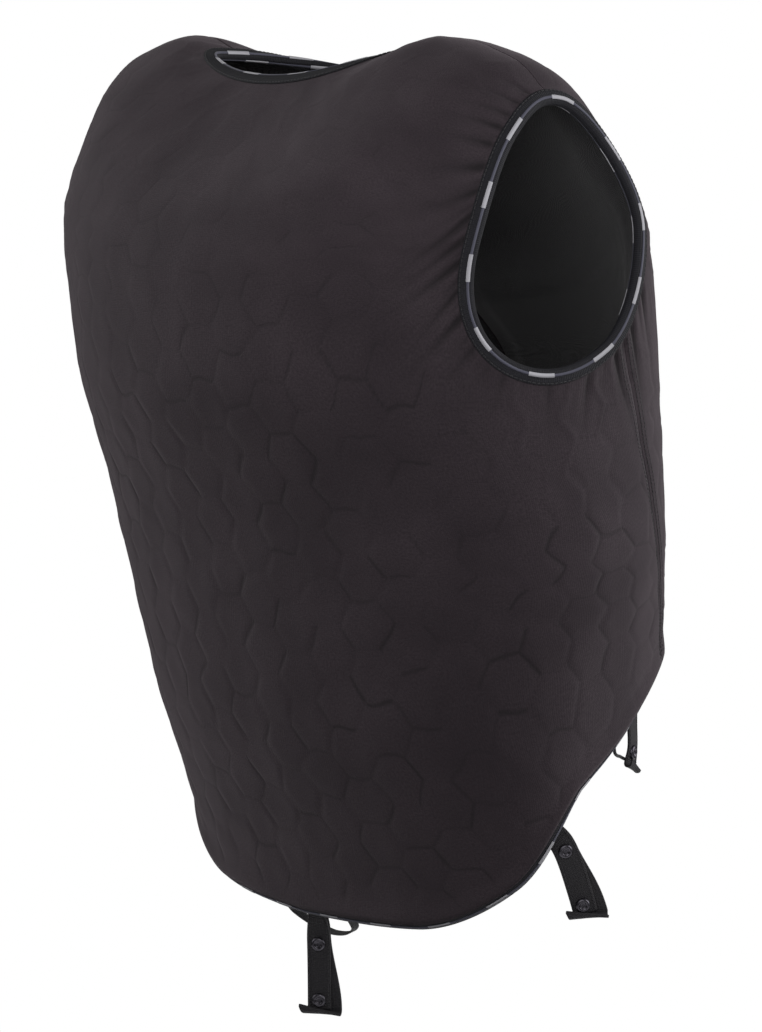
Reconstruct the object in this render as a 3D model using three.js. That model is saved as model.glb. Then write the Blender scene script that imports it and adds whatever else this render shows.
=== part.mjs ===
// Sleeveless padded body protector for riding: a foam-tiled vest with bound edges, a front zip and
// hanging webbing straps on its hem. Millimetres, +Z up. The wearer faces -Y and their right is -X.
// The origin is where the vest hangs from the wearer: between the shoulder crests, at crest height.
import * as THREE from 'three';
import { mergeVertices } from 'three/addons/utils/BufferGeometryUtils.js';

// Driving dimensions
const WALL = 18;
const EDGE_WALL = 5;
const WALL_TAPER = 40;
const GAP = 0.35;
const BINDING = { width: 8, thickness: 7 };
const ZIP = { width: 12, thickness: 4, depth: 2.5 };
const WEBBING = { width: 16, thickness: 1.6 };
const ELASTIC = { width: 6, thickness: 1.2 };
const ELASTIC_CORD = 2.2;
const STUD = { radius: 4.8, height: 2, sides: 10 };
const STRAP_SEAT = 0.9;

// Torso rings from the neck edge down to the tail: half width, reach to the back and to the front, where
// the side stands between them, and height at the side, back and front. The rings stand evenly in level,
// from 1 down to 0.
const RINGS = [
  { ring: 'neck', half: 96, back: 76, front: -78, sideY: 42, sideZ: -9, backZ: -29, frontZ: -40 },
  { ring: 'crest', half: 129, back: 106, front: -76, sideY: 33, sideZ: 1, backZ: -63, frontZ: -88 },
  { ring: 'slope', half: 185, back: 133, front: -82, sideY: 22, sideZ: -13, backZ: -92, frontZ: -106 },
  { ring: 'tip', half: 220, back: 150, front: -85, sideY: 5, sideZ: -49, backZ: -114, frontZ: -131 },
  { ring: 'blade', half: 246, back: 157, front: -111, sideY: -7, sideZ: -116, backZ: -148, frontZ: -166 },
  { ring: 'chest', half: 233, back: 153, front: -150, sideY: -8.7, sideZ: -215, backZ: -215, frontZ: -215 },
  { ring: 'rib', half: 226, back: 115, front: -168, sideY: -15, sideZ: -320, backZ: -320, frontZ: -320 },
  { ring: 'waist', half: 198, back: 95, front: -190, sideY: -21.3, sideZ: -430, backZ: -430, frontZ: -430 },
  { ring: 'hip', half: 180, back: 54, front: -132, sideY: -27.7, sideZ: -540, backZ: -540, frontZ: -540 },
  { ring: 'tail', half: 128, back: 32, front: -112, sideY: -34, sideZ: -640, backZ: -640, frontZ: -640 },
];
const SQUARENESS = 2.1;

// The hem's lower edge, by degrees round from the centre back, the same on both sides
const HEM = [
  { turn: 0, z: -583 },
  { turn: 35, z: -578 },
  { turn: 65, z: -546 },
  { turn: 95, z: -470 },
  { turn: 130, z: -408 },
  { turn: 180, z: -440 },
];

// The armhole's edge: an egg round its centre, in degrees round the body and in level, leaning forward
const ARMHOLE = { turn: 80.8, level: 0.579, halfTurn: 22.7, halfLevel: 0.129, egg: 0.256, lean: 5.2 };

// Where the panels are sewn together: at the neck's side, and from the armhole to the hem
const SHOULDER_SEAM_TURN = 97;
const SIDE_SEAM_TURN = 124;

// Stretches of the half vest's outer edge. Lines run to them from the armhole's edge, whose degrees
// count from its top towards the back.
const STRETCHES = [
  { edge: 'neck', panel: 'back', steps: 9, armholeFrom: 0, armholeTo: 46 },
  { edge: 'centre', panel: 'back', steps: 18, armholeFrom: 46, armholeTo: 150 },
  { edge: 'hem', panel: 'back', steps: 18, armholeFrom: 150, armholeTo: 220 },
  { edge: 'hem', panel: 'front', steps: 8, armholeFrom: 220, armholeTo: 246 },
  { edge: 'zip', panel: 'front', steps: 10, armholeFrom: 246, armholeTo: 318 },
  { edge: 'neck', panel: 'front', steps: 6, armholeFrom: 318, armholeTo: 360 },
];
const RING_STOPS = [0, 0.05, 0.12, 0.22, 0.36, 0.52, 0.68, 0.83, 0.94, 1];

// Gathers of the cloth round the armhole: place in degrees from its top, depth and reach in
// millimetres, spread in degrees. A negative depth is a crease, a positive one a puff.
const GATHERS = [
  { at: 14, depth: -1.6, spread: 4, reach: 22 },
  { at: 26, depth: -2.4, spread: 4, reach: 26 },
  { at: 37, depth: -1.8, spread: 4, reach: 30 },
  { at: 49, depth: -2.8, spread: 4, reach: 30 },
  { at: 61, depth: -2.2, spread: 4, reach: 34 },
  { at: 72, depth: -3.0, spread: 4, reach: 30 },
  { at: 84, depth: -2.4, spread: 4, reach: 36 },
  { at: 95, depth: -3.2, spread: 4, reach: 38 },
  { at: 107, depth: -2.6, spread: 4, reach: 40 },
  { at: 119, depth: -2.2, spread: 4, reach: 34 },
  { at: 131, depth: -2.6, spread: 4, reach: 30 },
  { at: 146, depth: -1.8, spread: 5, reach: 26 },
  { at: 163, depth: -1.6, spread: 5, reach: 24 },
  { at: 182, depth: -2.0, spread: 5, reach: 28 },
  { at: 200, depth: -2.6, spread: 4, reach: 34 },
  { at: 214, depth: -3.4, spread: 4, reach: 42 },
  { at: 226, depth: -3.4, spread: 4, reach: 40 },
  { at: 239, depth: -2.6, spread: 5, reach: 30 },
];
const GATHER_RISE = 9;

// Straps on the hem: place in degrees from the centre back, free length, how limp it hangs, the twist
// in degrees, how far its end is drawn back in degrees, and the studs' distances from hem and end
const STRAPS = {
  tail: { turn: 0.5, length: 66, limp: 1.35, twist: -38, drawn: 0, upperStud: 21, lowerStud: 6.5 },
  hip: { turn: 79, length: 58, limp: 1, twist: 0, drawn: 0, upperStud: 12, lowerStud: 6.5 },
  front: { turn: 110.5, length: 41, limp: 1.2, twist: -10, drawn: 30, lowerStud: 9 },
};
const STRAP_TWIST = { from: 4, to: 28 };
const STRAP_DRAWN_LENGTH = 20;
// How a strap hangs: by its run from the hem, the share it has turned from square to the hem to plumb
const STRAP_HANG = [
  { run: 0, plumb: 0 },
  { run: 8, plumb: 0.15 },
  { run: 18, plumb: 0.5 },
  { run: 30, plumb: 0.64 },
  { run: 60, plumb: 0.72 },
];
const STRAP_STEP = 3;
const STRAP_START = 1;
// The layer behind a strap widens on one side, from a share of its run down to its end
const KEEPER = { flare: 7, flareFrom: 0.3 };
// The keeper's end turns up in front of the strap in a cuff that widens on the other side and tilts
const CUFF = { drop: 0.5, radius: 2.2, bend: 165, flat: 1.5, flare: 6, tilt: 12, steps: 6 };

// Elastic loops: the hem turns they are sewn at, and how far they sag below the hem
const LOOP_START = 2;
const TAIL_LOOP = { turns: [-12, 9], sag: 23, behind: 14, legShare: 0.62, steps: 16 };
const FRONT_LOOP = { turn: 104, drop: 16, clear: 3, steps: 18 };

const COLOURS = {
  cloth: { color: 0x2c292d, roughness: 0.9, metalness: 0 },
  binding: { color: 0x1b1b22, roughness: 0.75, metalness: 0 },
  zip: { color: 0x161618, roughness: 0.6, metalness: 0 },
  webbing: { color: 0x1d1b1f, roughness: 0.7, metalness: 0 },
  elastic: { color: 0x232326, roughness: 0.8, metalness: 0 },
  stud: { color: 0x5a5a60, roughness: 0.35, metalness: 0.9 },
};

const { lerp, degToRad, clamp, smoothstep } = THREE.MathUtils;
const UP = new THREE.Vector3(0, 0, 1);
const mirrored = (v) => new THREE.Vector3(-v.x, v.y, v.z);
const stepsOf = (count) => Array.from({ length: count + 1 }, (_, i) => i);

// A smooth curve through knots that never overshoots them
function curveThrough(xs, ys) {
  const last = xs.length - 1;
  const run = stepsOf(last - 1).map((i) => xs[i + 1] - xs[i]);
  const rise = run.map((h, i) => (ys[i + 1] - ys[i]) / h);
  const slope = xs.map((_, i) => {
    if (i === 0 || i === last) return rise[Math.min(i, last - 1)];
    if (rise[i - 1] * rise[i] <= 0) return 0;
    const before = 2 * run[i] + run[i - 1];
    const after = run[i] + 2 * run[i - 1];
    return (before + after) / (before / rise[i - 1] + after / rise[i]);
  });
  return (x) => {
    const at = clamp(x, xs[0], xs[last]);
    let i = 0;
    while (i < last - 1 && at > xs[i + 1]) i += 1;
    const t = (at - xs[i]) / run[i];
    const ease = t * t * (3 - 2 * t);
    const enter = run[i] * slope[i] * t * (1 - t) * (1 - t);
    const leave = run[i] * slope[i + 1] * t * t * (t - 1);
    return lerp(ys[i], ys[i + 1], ease) + enter + leave;
  };
}

// The torso's outer surface. turn is in degrees round from the centre back by way of the right side.
const RING_LEVELS = RINGS.map((_, i) => i / (RINGS.length - 1));
const ringColumn = (name) => curveThrough(RING_LEVELS, RINGS.map((row) => row[name]).reverse());
const SECTION = {
  half: ringColumn('half'),
  back: ringColumn('back'),
  front: ringColumn('front'),
  sideY: ringColumn('sideY'),
  sideZ: ringColumn('sideZ'),
  backZ: ringColumn('backZ'),
  frontZ: ringColumn('frontZ'),
};

function torso(turn, level) {
  const sine = Math.sin(degToRad(turn));
  const cosine = Math.cos(degToRad(turn));
  const power = 2 / SQUARENESS;
  const across = Math.sign(sine) * Math.abs(sine) ** power;
  const along = Math.sign(cosine) * Math.abs(cosine) ** power;
  const flank = SECTION.sideY(level);
  const reach = cosine > 0 ? SECTION.back(level) - flank : flank - SECTION.front(level);
  const toBack = Math.max(cosine, 0) ** 2;
  const toFront = Math.max(-cosine, 0) ** 2;
  const height = SECTION.sideZ(level) * (1 - toBack - toFront)
    + SECTION.backZ(level) * toBack + SECTION.frontZ(level) * toFront;
  return new THREE.Vector3(-SECTION.half(level) * across, flank + reach * along, height);
}

// Outward normal, from the surface a small step to each side
const NORMAL_STEP = { turn: 1, level: 0.006 };
function torsoNormal(turn, level) {
  const round = torso(turn + NORMAL_STEP.turn, level).sub(torso(turn - NORMAL_STEP.turn, level));
  const high = Math.min(level + NORMAL_STEP.level, 1);
  const rise = torso(turn, high).sub(torso(turn, high - 2 * NORMAL_STEP.level));
  return round.cross(rise).normalize();
}

const hemCurve = curveThrough(HEM.map((row) => row.turn), HEM.map((row) => row.z));
const hemZ = (turn) => hemCurve(Math.abs(turn));

// Level of the panel's own edge, which stops short of the hem by the binding's width
function hemLevel(turn) {
  const target = hemZ(turn) + BINDING.width;
  let low = 0;
  let high = 0.5;
  while (high - low > 1e-6) {
    const middle = (low + high) / 2;
    if (SECTION.sideZ(middle) > target) high = middle;
    else low = middle;
  }
  return low;
}

function armhole(angle) {
  const sine = -Math.sin(degToRad(angle));
  const cosine = Math.cos(degToRad(angle));
  const turn = ARMHOLE.turn + ARMHOLE.lean * cosine
    + ARMHOLE.halfTurn * sine * (1 - ARMHOLE.egg * cosine);
  return { turn, level: ARMHOLE.level + ARMHOLE.halfLevel * cosine };
}

// Point of the half vest's outer edge, at a share of one stretch
function edgePlace(stretch, share) {
  const back = stretch.panel === 'back';
  if (stretch.edge === 'neck') {
    const turn = back ? lerp(SHOULDER_SEAM_TURN, 0, share) : lerp(180, SHOULDER_SEAM_TURN, share);
    return { turn, level: 1 };
  }
  if (stretch.edge === 'hem') {
    const turn = back ? lerp(0, SIDE_SEAM_TURN, share) : lerp(SIDE_SEAM_TURN, 180, share);
    return { turn, level: hemLevel(turn) };
  }
  const turn = stretch.edge === 'zip' ? 180 : 0;
  const low = hemLevel(turn);
  return { turn, level: stretch.edge === 'zip' ? lerp(low, 1, share) : lerp(1, low, share) };
}

// Shares of a stretch that stand evenly along the surface
const MEASURE_STEPS = 200;
function evenShares(stretch) {
  const fine = stepsOf(MEASURE_STEPS).map((i) => i / MEASURE_STEPS);
  const points = fine.map((share) => {
    const place = edgePlace(stretch, share);
    return torso(place.turn, place.level);
  });
  const lengths = [0];
  points.slice(1).forEach((point, i) => lengths.push(lengths[i] + point.distanceTo(points[i])));
  const shareAt = curveThrough(lengths, fine);
  return stepsOf(stretch.steps).map((i) => shareAt(lengths[MEASURE_STEPS] * i / stretch.steps));
}

function gatherHeight(angle, fromArmhole) {
  const fade = (row) => smoothstep(fromArmhole, 0, GATHER_RISE) * Math.exp(-fromArmhole / row.reach);
  const swell = (row) => Math.exp(-(((angle - row.at) / row.spread) ** 2));
  return GATHERS.reduce((sum, row) => sum + row.depth * fade(row) * swell(row), 0);
}

// Outer and inner point of the padded wall, which thins towards every bound edge
function wallAt(turn, level, angle) {
  const surface = torso(turn, level);
  const normal = torsoNormal(turn, level);
  const rim = armhole(angle);
  const fromArmhole = surface.distanceTo(torso(rim.turn, rim.level));
  const fromNeck = surface.distanceTo(torso(turn, 1));
  const fromHem = Math.max(surface.z - hemZ(turn) - BINDING.width, 0);
  const nearest = Math.min(fromArmhole, fromNeck, fromHem);
  const thickness = lerp(EDGE_WALL, WALL, smoothstep(nearest, 0, WALL_TAPER));
  return {
    outer: surface.clone().addScaledVector(normal, gatherHeight(angle, fromArmhole)),
    inner: surface.clone().addScaledVector(normal, -thickness),
  };
}

// One line of wall points from the armhole's edge to the vest's outer edge
function wallLine(angle, edge, stretch) {
  const rim = armhole(angle);
  const points = RING_STOPS.map((stop) => wallAt(
    lerp(rim.turn, edge.turn, stop), lerp(rim.level, edge.level, stop), angle));
  const ends = points[points.length - 1];
  if (edge.turn === 0) [ends.outer, ends.inner].forEach((point) => point.setX(0));
  if (edge.turn === 180) [ends.outer, ends.inner].forEach((point) => point.setX(-ZIP.width / 2 - GAP));
  return { points, edge: stretch.edge, panel: stretch.panel };
}

// The right half of the vest: the lines of each stretch, ends included
const HALF = STRETCHES.map((stretch) => {
  const shares = evenShares(stretch);
  return shares.map((share, i) => wallLine(
    lerp(stretch.armholeFrom, stretch.armholeTo, i / stretch.steps), edgePlace(stretch, share), stretch));
});

// A closed solid from four-cornered faces, turned so that its faces point out. Each is split along its
// shorter diagonal, so that faces that lie against each other bow alike.
function solidFrom(faces) {
  const corners = faces.flatMap(([a, b, c, d]) => (
    a.distanceToSquared(c) <= b.distanceToSquared(d) ? [a, b, c, a, c, d] : [b, c, d, b, d, a]));
  let volume = 0;
  for (let i = 0; i < corners.length; i += 3) {
    volume += corners[i].dot(corners[i + 1].clone().cross(corners[i + 2]));
  }
  const order = volume > 0 ? [0, 1, 2] : [0, 2, 1];
  const positions = corners.flatMap((_, i) => corners[i - (i % 3) + order[i % 3]].toArray());
  const geometry = new THREE.BufferGeometry();
  geometry.setAttribute('position', new THREE.Float32BufferAttribute(positions, 3));
  const merged = mergeVertices(geometry, 1e-4);
  merged.computeVertexNormals();
  return merged;
}

const mirrorFaces = (faces) => faces.map(([a, b, c, d]) => [a, d, c, b].map(mirrored));

// Faces of a padded panel: outer cloth, inner cloth and the walls along its edges
function panelFaces(stretches) {
  const lines = stretches.flatMap((stretch, i) => (i === 0 ? stretch : stretch.slice(1)));
  const last = RING_STOPS.length - 1;
  const grid = trimSeams(lines.map((line) => line.points));
  const faces = [];
  for (let i = 0; i < grid.length - 1; i += 1) {
    const [here, next] = [grid[i], grid[i + 1]];
    for (let j = 0; j < last; j += 1) {
      faces.push([here[j].outer, next[j].outer, next[j + 1].outer, here[j + 1].outer]);
      faces.push([here[j].inner, here[j + 1].inner, next[j + 1].inner, next[j].inner]);
    }
    faces.push([next[0].outer, here[0].outer, here[0].inner, next[0].inner]);
    const open = lines[i + 1].edge !== 'centre';
    if (open) faces.push([here[last].outer, next[last].outer, next[last].inner, here[last].inner]);
  }
  const [first, end] = [grid[0], grid[grid.length - 1]];
  for (let j = 0; j < last; j += 1) {
    faces.push([first[j + 1].outer, first[j + 1].inner, first[j].inner, first[j].outer]);
    faces.push([end[j + 1].outer, end[j].outer, end[j].inner, end[j + 1].inner]);
  }
  return faces;
}

// Draws a panel's two sewn sides back by half the gap, towards its own cloth
function trimSeams(grid) {
  const drawn = (line, beside) => line.map((place, j) => {
    const before = line[Math.max(j - 1, 0)].outer;
    const after = line[Math.min(j + 1, line.length - 1)].outer;
    const through = place.outer.clone().sub(place.inner);
    const shift = after.clone().sub(before).cross(through).setLength(GAP / 2);
    if (shift.dot(beside[j].outer.clone().sub(place.outer)) < 0) shift.negate();
    return { outer: place.outer.clone().add(shift), inner: place.inner.clone().add(shift) };
  });
  const end = grid.length - 1;
  return grid.map((line, i) => {
    if (i === 0) return drawn(line, grid[1]);
    return i === end ? drawn(line, grid[end - 1]) : line;
  });
}

// A solid swept through sections of equal corner count, closed in a ring or capped at its ends
function sweep(sections, ring = false) {
  const faces = [];
  const count = sections[0].length;
  const spans = ring ? sections.length : sections.length - 1;
  for (let i = 0; i < spans; i += 1) {
    const next = sections[(i + 1) % sections.length];
    for (let k = 0; k < count; k += 1) {
      const after = (k + 1) % count;
      faces.push([sections[i][k], next[k], next[after], sections[i][after]]);
    }
  }
  if (!ring) {
    const end = sections[sections.length - 1];
    for (let k = 1; k < count - 2; k += 2) {
      faces.push([sections[0][0], sections[0][k], sections[0][k + 1], sections[0][k + 2]]);
      faces.push([end[0], end[k + 2], end[k + 1], end[k]]);
    }
  }
  return faces;
}

// Rounded tape section, as shares of its width away from the panel and of its thickness
const BINDING_SECTION = [[0, -0.42], [0, 0.42], [0.5, 0.5], [1, 0.24], [1, -0.24], [0.5, -0.5]];

// Tape along a run of panel edge places, each with the place next to it inside the panel
function bindingSections(places, ring = false) {
  const middles = places.map(({ rim }) => rim.outer.clone().add(rim.inner).multiplyScalar(0.5));
  const count = places.length;
  return places.map(({ rim, inside }, i) => {
    const before = middles[ring ? (i + count - 1) % count : Math.max(i - 1, 0)];
    const after = middles[ring ? (i + 1) % count : Math.min(i + 1, count - 1)];
    const normal = rim.outer.clone().sub(rim.inner).normalize();
    const away = after.clone().sub(before).cross(normal).normalize();
    if (away.dot(inside.outer.clone().sub(rim.outer)) > 0) away.negate();
    if (before === middles[i] || after === middles[i]) away.setX(0).normalize();
    return BINDING_SECTION.map(([out, up]) => middles[i].clone()
      .addScaledVector(away, GAP + out * BINDING.width)
      .addScaledVector(normal, up * BINDING.thickness));
  });
}

const LAST = RING_STOPS.length - 1;
const armholePlaces = HALF.flatMap((lines) => lines.slice(1))
  .map(({ points }) => ({ rim: points[0], inside: points[1] }));
const outerPlaces = (lines) => lines.map(({ points }) => ({ rim: points[LAST], inside: points[LAST - 1] }));
const mirrorPlace = (place) => ({ outer: mirrored(place.outer), inner: mirrored(place.inner) });

// Places from the right side of the front, round the back, to the left side of the front
function acrossBack(rightPlaces) {
  const left = rightPlaces.slice(0, -1).reverse()
    .map(({ rim, inside }) => ({ rim: mirrorPlace(rim), inside: mirrorPlace(inside) }));
  return [...rightPlaces, ...left];
}

const [NECK_BACK, , HEM_BACK, HEM_FRONT, ZIP_EDGE, NECK_FRONT] = HALF;
const neckPlaces = acrossBack([...outerPlaces(NECK_FRONT), ...outerPlaces(NECK_BACK).slice(1)]);
const hemPlaces = acrossBack(
  [...outerPlaces(HEM_BACK), ...outerPlaces(HEM_FRONT).slice(1)].reverse());

// Zip strip down the centre front, as long as the panels and their bindings
function zipSections() {
  const middles = ZIP_EDGE.map(({ points }) => {
    const { outer, inner } = points[LAST];
    const inward = inner.clone().sub(outer).setX(0).normalize();
    return { at: outer.clone().setX(0).addScaledVector(inward, ZIP.depth), inward };
  });
  const ends = [middles[0], middles[middles.length - 1]];
  const beside = [middles[1], middles[middles.length - 2]];
  const longer = ends.map(({ at, inward }, i) => ({
    at: at.clone().add(at.clone().sub(beside[i].at).setLength(BINDING.width)), inward }));
  return [longer[0], ...middles, longer[1]].map(({ at, inward }) => {
    const half = inward.clone().multiplyScalar(ZIP.thickness / 2);
    const side = new THREE.Vector3(ZIP.width / 2, 0, 0);
    return rectangle(at, side, half);
  });
}

const rectangle = (at, side, half) => [[1, 1], [-1, 1], [-1, -1], [1, -1]].map(([s, h]) => at.clone()
  .addScaledVector(side, s).addScaledVector(half, h));

// The hem at one turn: a point amid its edge, and unit directions along it, outwards and off the panel
function hemFrame(turn) {
  const level = hemLevel(turn);
  const outward = torsoNormal(turn, level);
  const [before, after] = [turn - NORMAL_STEP.turn, turn + NORMAL_STEP.turn];
  const along = torso(after, hemLevel(after)).sub(torso(before, hemLevel(before))).normalize();
  const off = outward.clone().cross(along).normalize();
  if (off.z > 0) off.negate();
  const at = torso(turn, level).addScaledVector(outward, -EDGE_WALL / 2);
  return { at, along, outward, off };
}

// Stations down a strap from behind the hem binding: centre, run, and its frame
function strapStations(strap) {
  const { at, along, outward, off } = hemFrame(strap.turn);
  const plumbAt = curveThrough(STRAP_HANG.map((row) => row.run), STRAP_HANG.map((row) => row.plumb));
  const total = BINDING.width + strap.length;
  const count = Math.ceil(total / STRAP_STEP);
  const centre = at.clone().addScaledVector(
    outward, -BINDING.thickness / 2 - STRAP_SEAT - WEBBING.thickness / 2).addScaledVector(off, STRAP_START);
  return stepsOf(count).map((i) => {
    const run = total * i / count;
    const drawn = degToRad(strap.drawn) * smoothstep(run, total - STRAP_DRAWN_LENGTH, total);
    const down = off.clone().lerp(UP.clone().negate(), plumbAt(run) * strap.limp).normalize()
      .applyAxisAngle(outward, -drawn);
    if (i > 0) centre.addScaledVector(down, total / count);
    const turned = degToRad(strap.twist) * smoothstep(run, STRAP_TWIST.from, STRAP_TWIST.to);
    const across = along.clone().addScaledVector(down, -along.dot(down)).normalize()
      .applyAxisAngle(down, turned);
    const face = across.clone().cross(down).normalize();
    if (face.dot(outward) < 0) face.negate();
    return { at: centre.clone(), run, down, across, face };
  });
}

// Sections of a flat band, whose two edges lie at their own distances from each station's centre
const HALF_WEBBING = WEBBING.width / 2;
function ribbonSections(stations, thickness) {
  return stations.map(({ at, across, face, before = HALF_WEBBING, beyond = HALF_WEBBING }) => rectangle(
    at.clone().addScaledVector(across, (beyond - before) / 2),
    across.clone().multiplyScalar((before + beyond) / 2),
    face.clone().multiplyScalar(thickness / 2)));
}

// The layer behind a strap, with its cuff
function keeperStations(strap) {
  const total = BINDING.width + strap.length;
  const widest = HALF_WEBBING + KEEPER.flare;
  const stations = strapStations(strap).map(({ at, run, down, across, face }) => ({
    at: at.clone().addScaledVector(face, -WEBBING.thickness - GAP),
    down,
    across,
    face,
    beyond: lerp(HALF_WEBBING, widest, smoothstep(run, total * KEEPER.flareFrom, total)),
  }));
  const { at, down, across, face } = stations[stations.length - 1];
  const hub = at.clone().addScaledVector(down, CUFF.drop).addScaledVector(face, CUFF.radius);
  const bent = stepsOf(CUFF.steps).map((i) => {
    const share = i / CUFF.steps;
    const bend = degToRad(CUFF.bend) * share;
    const facing = face.clone().multiplyScalar(Math.cos(bend)).addScaledVector(down, -Math.sin(bend));
    return {
      at: hub.clone().addScaledVector(facing, -CUFF.radius),
      across: across.clone().applyAxisAngle(facing, degToRad(CUFF.tilt) * share),
      face: facing,
      before: HALF_WEBBING + CUFF.flare * share,
      beyond: widest,
    };
  });
  const end = bent[bent.length - 1];
  const ahead = end.across.clone().cross(end.face).normalize();
  if (ahead.dot(down) > 0) ahead.negate();
  const rim = { ...end, at: end.at.clone().addScaledVector(ahead, CUFF.flat) };
  return [...stations, ...bent, rim];
}

// A press stud's domed cap on a strap's outer face
function studGeometry() {
  const { radius, height } = STUD;
  const profile = [[0, 0], [radius, 0], [radius, height * 0.45], [radius * 0.62, height], [0, height]];
  const lathe = new THREE.LatheGeometry(profile.map(([r, h]) => new THREE.Vector2(r, h)), STUD.sides);
  return lathe;
}

function studPlace(strap, run) {
  const stations = strapStations(strap);
  const nearest = stations.reduce((best, item) => (
    Math.abs(item.run - run) < Math.abs(best.run - run) ? item : best));
  const lift = WEBBING.thickness / 2 + GAP;
  return { at: nearest.at.clone().addScaledVector(nearest.face, lift), face: nearest.face };
}

// Flat elastic along a smooth route, its width lying across the route and square to a lead direction
function elasticSections(points, leads, { width, thickness }, steps) {
  const route = new THREE.CatmullRomCurve3(points);
  return stepsOf(steps).map((i) => {
    const share = i / steps;
    const tangent = route.getTangent(share);
    const lead = leads[0].clone().lerp(leads[1], share);
    const across = lead.addScaledVector(tangent, -lead.dot(tangent)).normalize();
    const face = across.clone().cross(tangent);
    return rectangle(
      route.getPoint(share), across.multiplyScalar(width / 2), face.multiplyScalar(thickness / 2));
  });
}

const behindBinding = (frame, thickness, off, behind = 0) => frame.at.clone()
  .addScaledVector(frame.outward, -BINDING.thickness / 2 - STRAP_SEAT - thickness / 2 - behind)
  .addScaledVector(frame.off, off);

function tailLoopSections() {
  const [right, left] = TAIL_LOOP.turns.map(hemFrame);
  const middle = hemFrame((TAIL_LOOP.turns[0] + TAIL_LOOP.turns[1]) / 2);
  const low = BINDING.width + TAIL_LOOP.sag;
  const near = (frame, off, behind) => behindBinding(frame, ELASTIC.width, off, behind);
  const sewn = (frame) => near(frame, LOOP_START, GAP - STRAP_SEAT);
  const leg = (frame) => near(frame, low * TAIL_LOOP.legShare, TAIL_LOOP.behind / 2);
  const points = [sewn(right), leg(right), near(middle, low, TAIL_LOOP.behind), leg(left), sewn(left)];
  return elasticSections(points, [right.outward, left.outward], ELASTIC, TAIL_LOOP.steps);
}

// Elastic cord from the hem, round the near edge of the front strap's end, to the strap's back
function frontLoopSections() {
  const frame = hemFrame(FRONT_LOOP.turn);
  const stations = strapStations(STRAPS.front);
  const end = stations[stations.length - 2];
  const start = behindBinding(frame, ELASTIC_CORD, LOOP_START + 1, GAP);
  const nearEdge = end.across.clone().multiplyScalar(Math.sign(end.across.dot(start.clone().sub(end.at))));
  const fast = WEBBING.thickness / 2 + GAP + ELASTIC_CORD / 2;
  const behindStrap = (side, behind) => end.at.clone()
    .addScaledVector(nearEdge, side).addScaledVector(end.face, -behind);
  const round = behindStrap(WEBBING.width / 2 + FRONT_LOOP.clear, FRONT_LOOP.clear);
  const points = [
    start,
    start.clone().addScaledVector(UP, -FRONT_LOOP.drop / 2),
    start.clone().lerp(round, 0.5).setZ(Math.min(start.z - FRONT_LOOP.drop, round.z)),
    round,
    behindStrap(WEBBING.width / 4, fast + FRONT_LOOP.clear / 3),
    behindStrap(0, fast),
  ];
  const size = { width: ELASTIC_CORD, thickness: ELASTIC_CORD };
  return elasticSections(points, [frame.outward, frame.outward], size, FRONT_LOOP.steps);
}

const protector = new THREE.Group();

function addPiece(name, geometry, finish) {
  const mesh = new THREE.Mesh(geometry, new THREE.MeshStandardMaterial(COLOURS[finish]));
  mesh.name = name;
  protector.add(mesh);
  return mesh;
}

function addFaces(name, faces, finish) {
  return addPiece(name, solidFrom(faces), finish);
}

function addPair(name, faces, finish) {
  addFaces(`${name}_right`, faces, finish);
  addFaces(`${name}_left`, mirrorFaces(faces), finish);
}

function addStud(name, { at, face }) {
  const stud = addPiece(name, studGeometry(), 'stud');
  stud.position.copy(at);
  stud.quaternion.setFromUnitVectors(new THREE.Vector3(0, 1, 0), face);
}

// Padded panels
const backHalf = panelFaces(HALF.slice(0, 3));
addFaces('back_panel', [...backHalf, ...mirrorFaces(backHalf)], 'cloth');
addPair('front_panel', panelFaces(HALF.slice(3)), 'cloth');
addFaces('front_zip', sweep(zipSections()), 'zip');

// Bound edges
addFaces('neck_binding', sweep(bindingSections(neckPlaces)), 'binding');
addPair('armhole_binding', sweep(bindingSections(armholePlaces, true), true), 'binding');
addFaces('hem_binding', sweep(bindingSections(hemPlaces)), 'binding');

// Straps, their keepers and studs
const strapFaces = (strap) => sweep(ribbonSections(strapStations(strap), WEBBING.thickness));
const keeperFaces = (strap) => sweep(ribbonSections(keeperStations(strap), WEBBING.thickness));
const studRuns = (strap) => ({
  upper: BINDING.width + strap.upperStud,
  lower: BINDING.width + strap.length - strap.lowerStud,
});

addFaces('tail_strap', strapFaces(STRAPS.tail), 'webbing');
addFaces('tail_keeper', keeperFaces(STRAPS.tail), 'webbing');
addPair('hip_strap', strapFaces(STRAPS.hip), 'webbing');
addPair('hip_keeper', keeperFaces(STRAPS.hip), 'webbing');
addPair('front_strap', strapFaces(STRAPS.front), 'webbing');

for (const [part, run] of Object.entries(studRuns(STRAPS.tail))) {
  addStud(`tail_stud_${part}`, studPlace(STRAPS.tail, run));
}
for (const [part, run] of Object.entries(studRuns(STRAPS.hip))) {
  const { at, face } = studPlace(STRAPS.hip, run);
  addStud(`hip_stud_${part}_right`, { at, face });
  addStud(`hip_stud_${part}_left`, { at: mirrored(at), face: mirrored(face) });
}
const frontStud = studPlace(STRAPS.front, studRuns(STRAPS.front).lower);
addStud('front_stud_right', frontStud);
addStud('front_stud_left', { at: mirrored(frontStud.at), face: mirrored(frontStud.face) });

// Elastic loops
addFaces('tail_loop', sweep(tailLoopSections()), 'elastic');
addPair('front_loop', sweep(frontLoopSections()), 'elastic');

export default protector;
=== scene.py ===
"""Looks of a sleeveless padded riding vest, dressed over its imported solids.

Sizes are in millimetres, as the vest's maker would state them, and meshes are made in metres.
The wearer faces -Y and their right is -X. Turns are degrees round from the centre back by way of
the wearer's right side, and levels run from 1 at the neck edge down to 0 below the tail.
"""

import logging
import math
from dataclasses import dataclass, field, replace
from enum import Enum
from typing import Callable, Sequence

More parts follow.
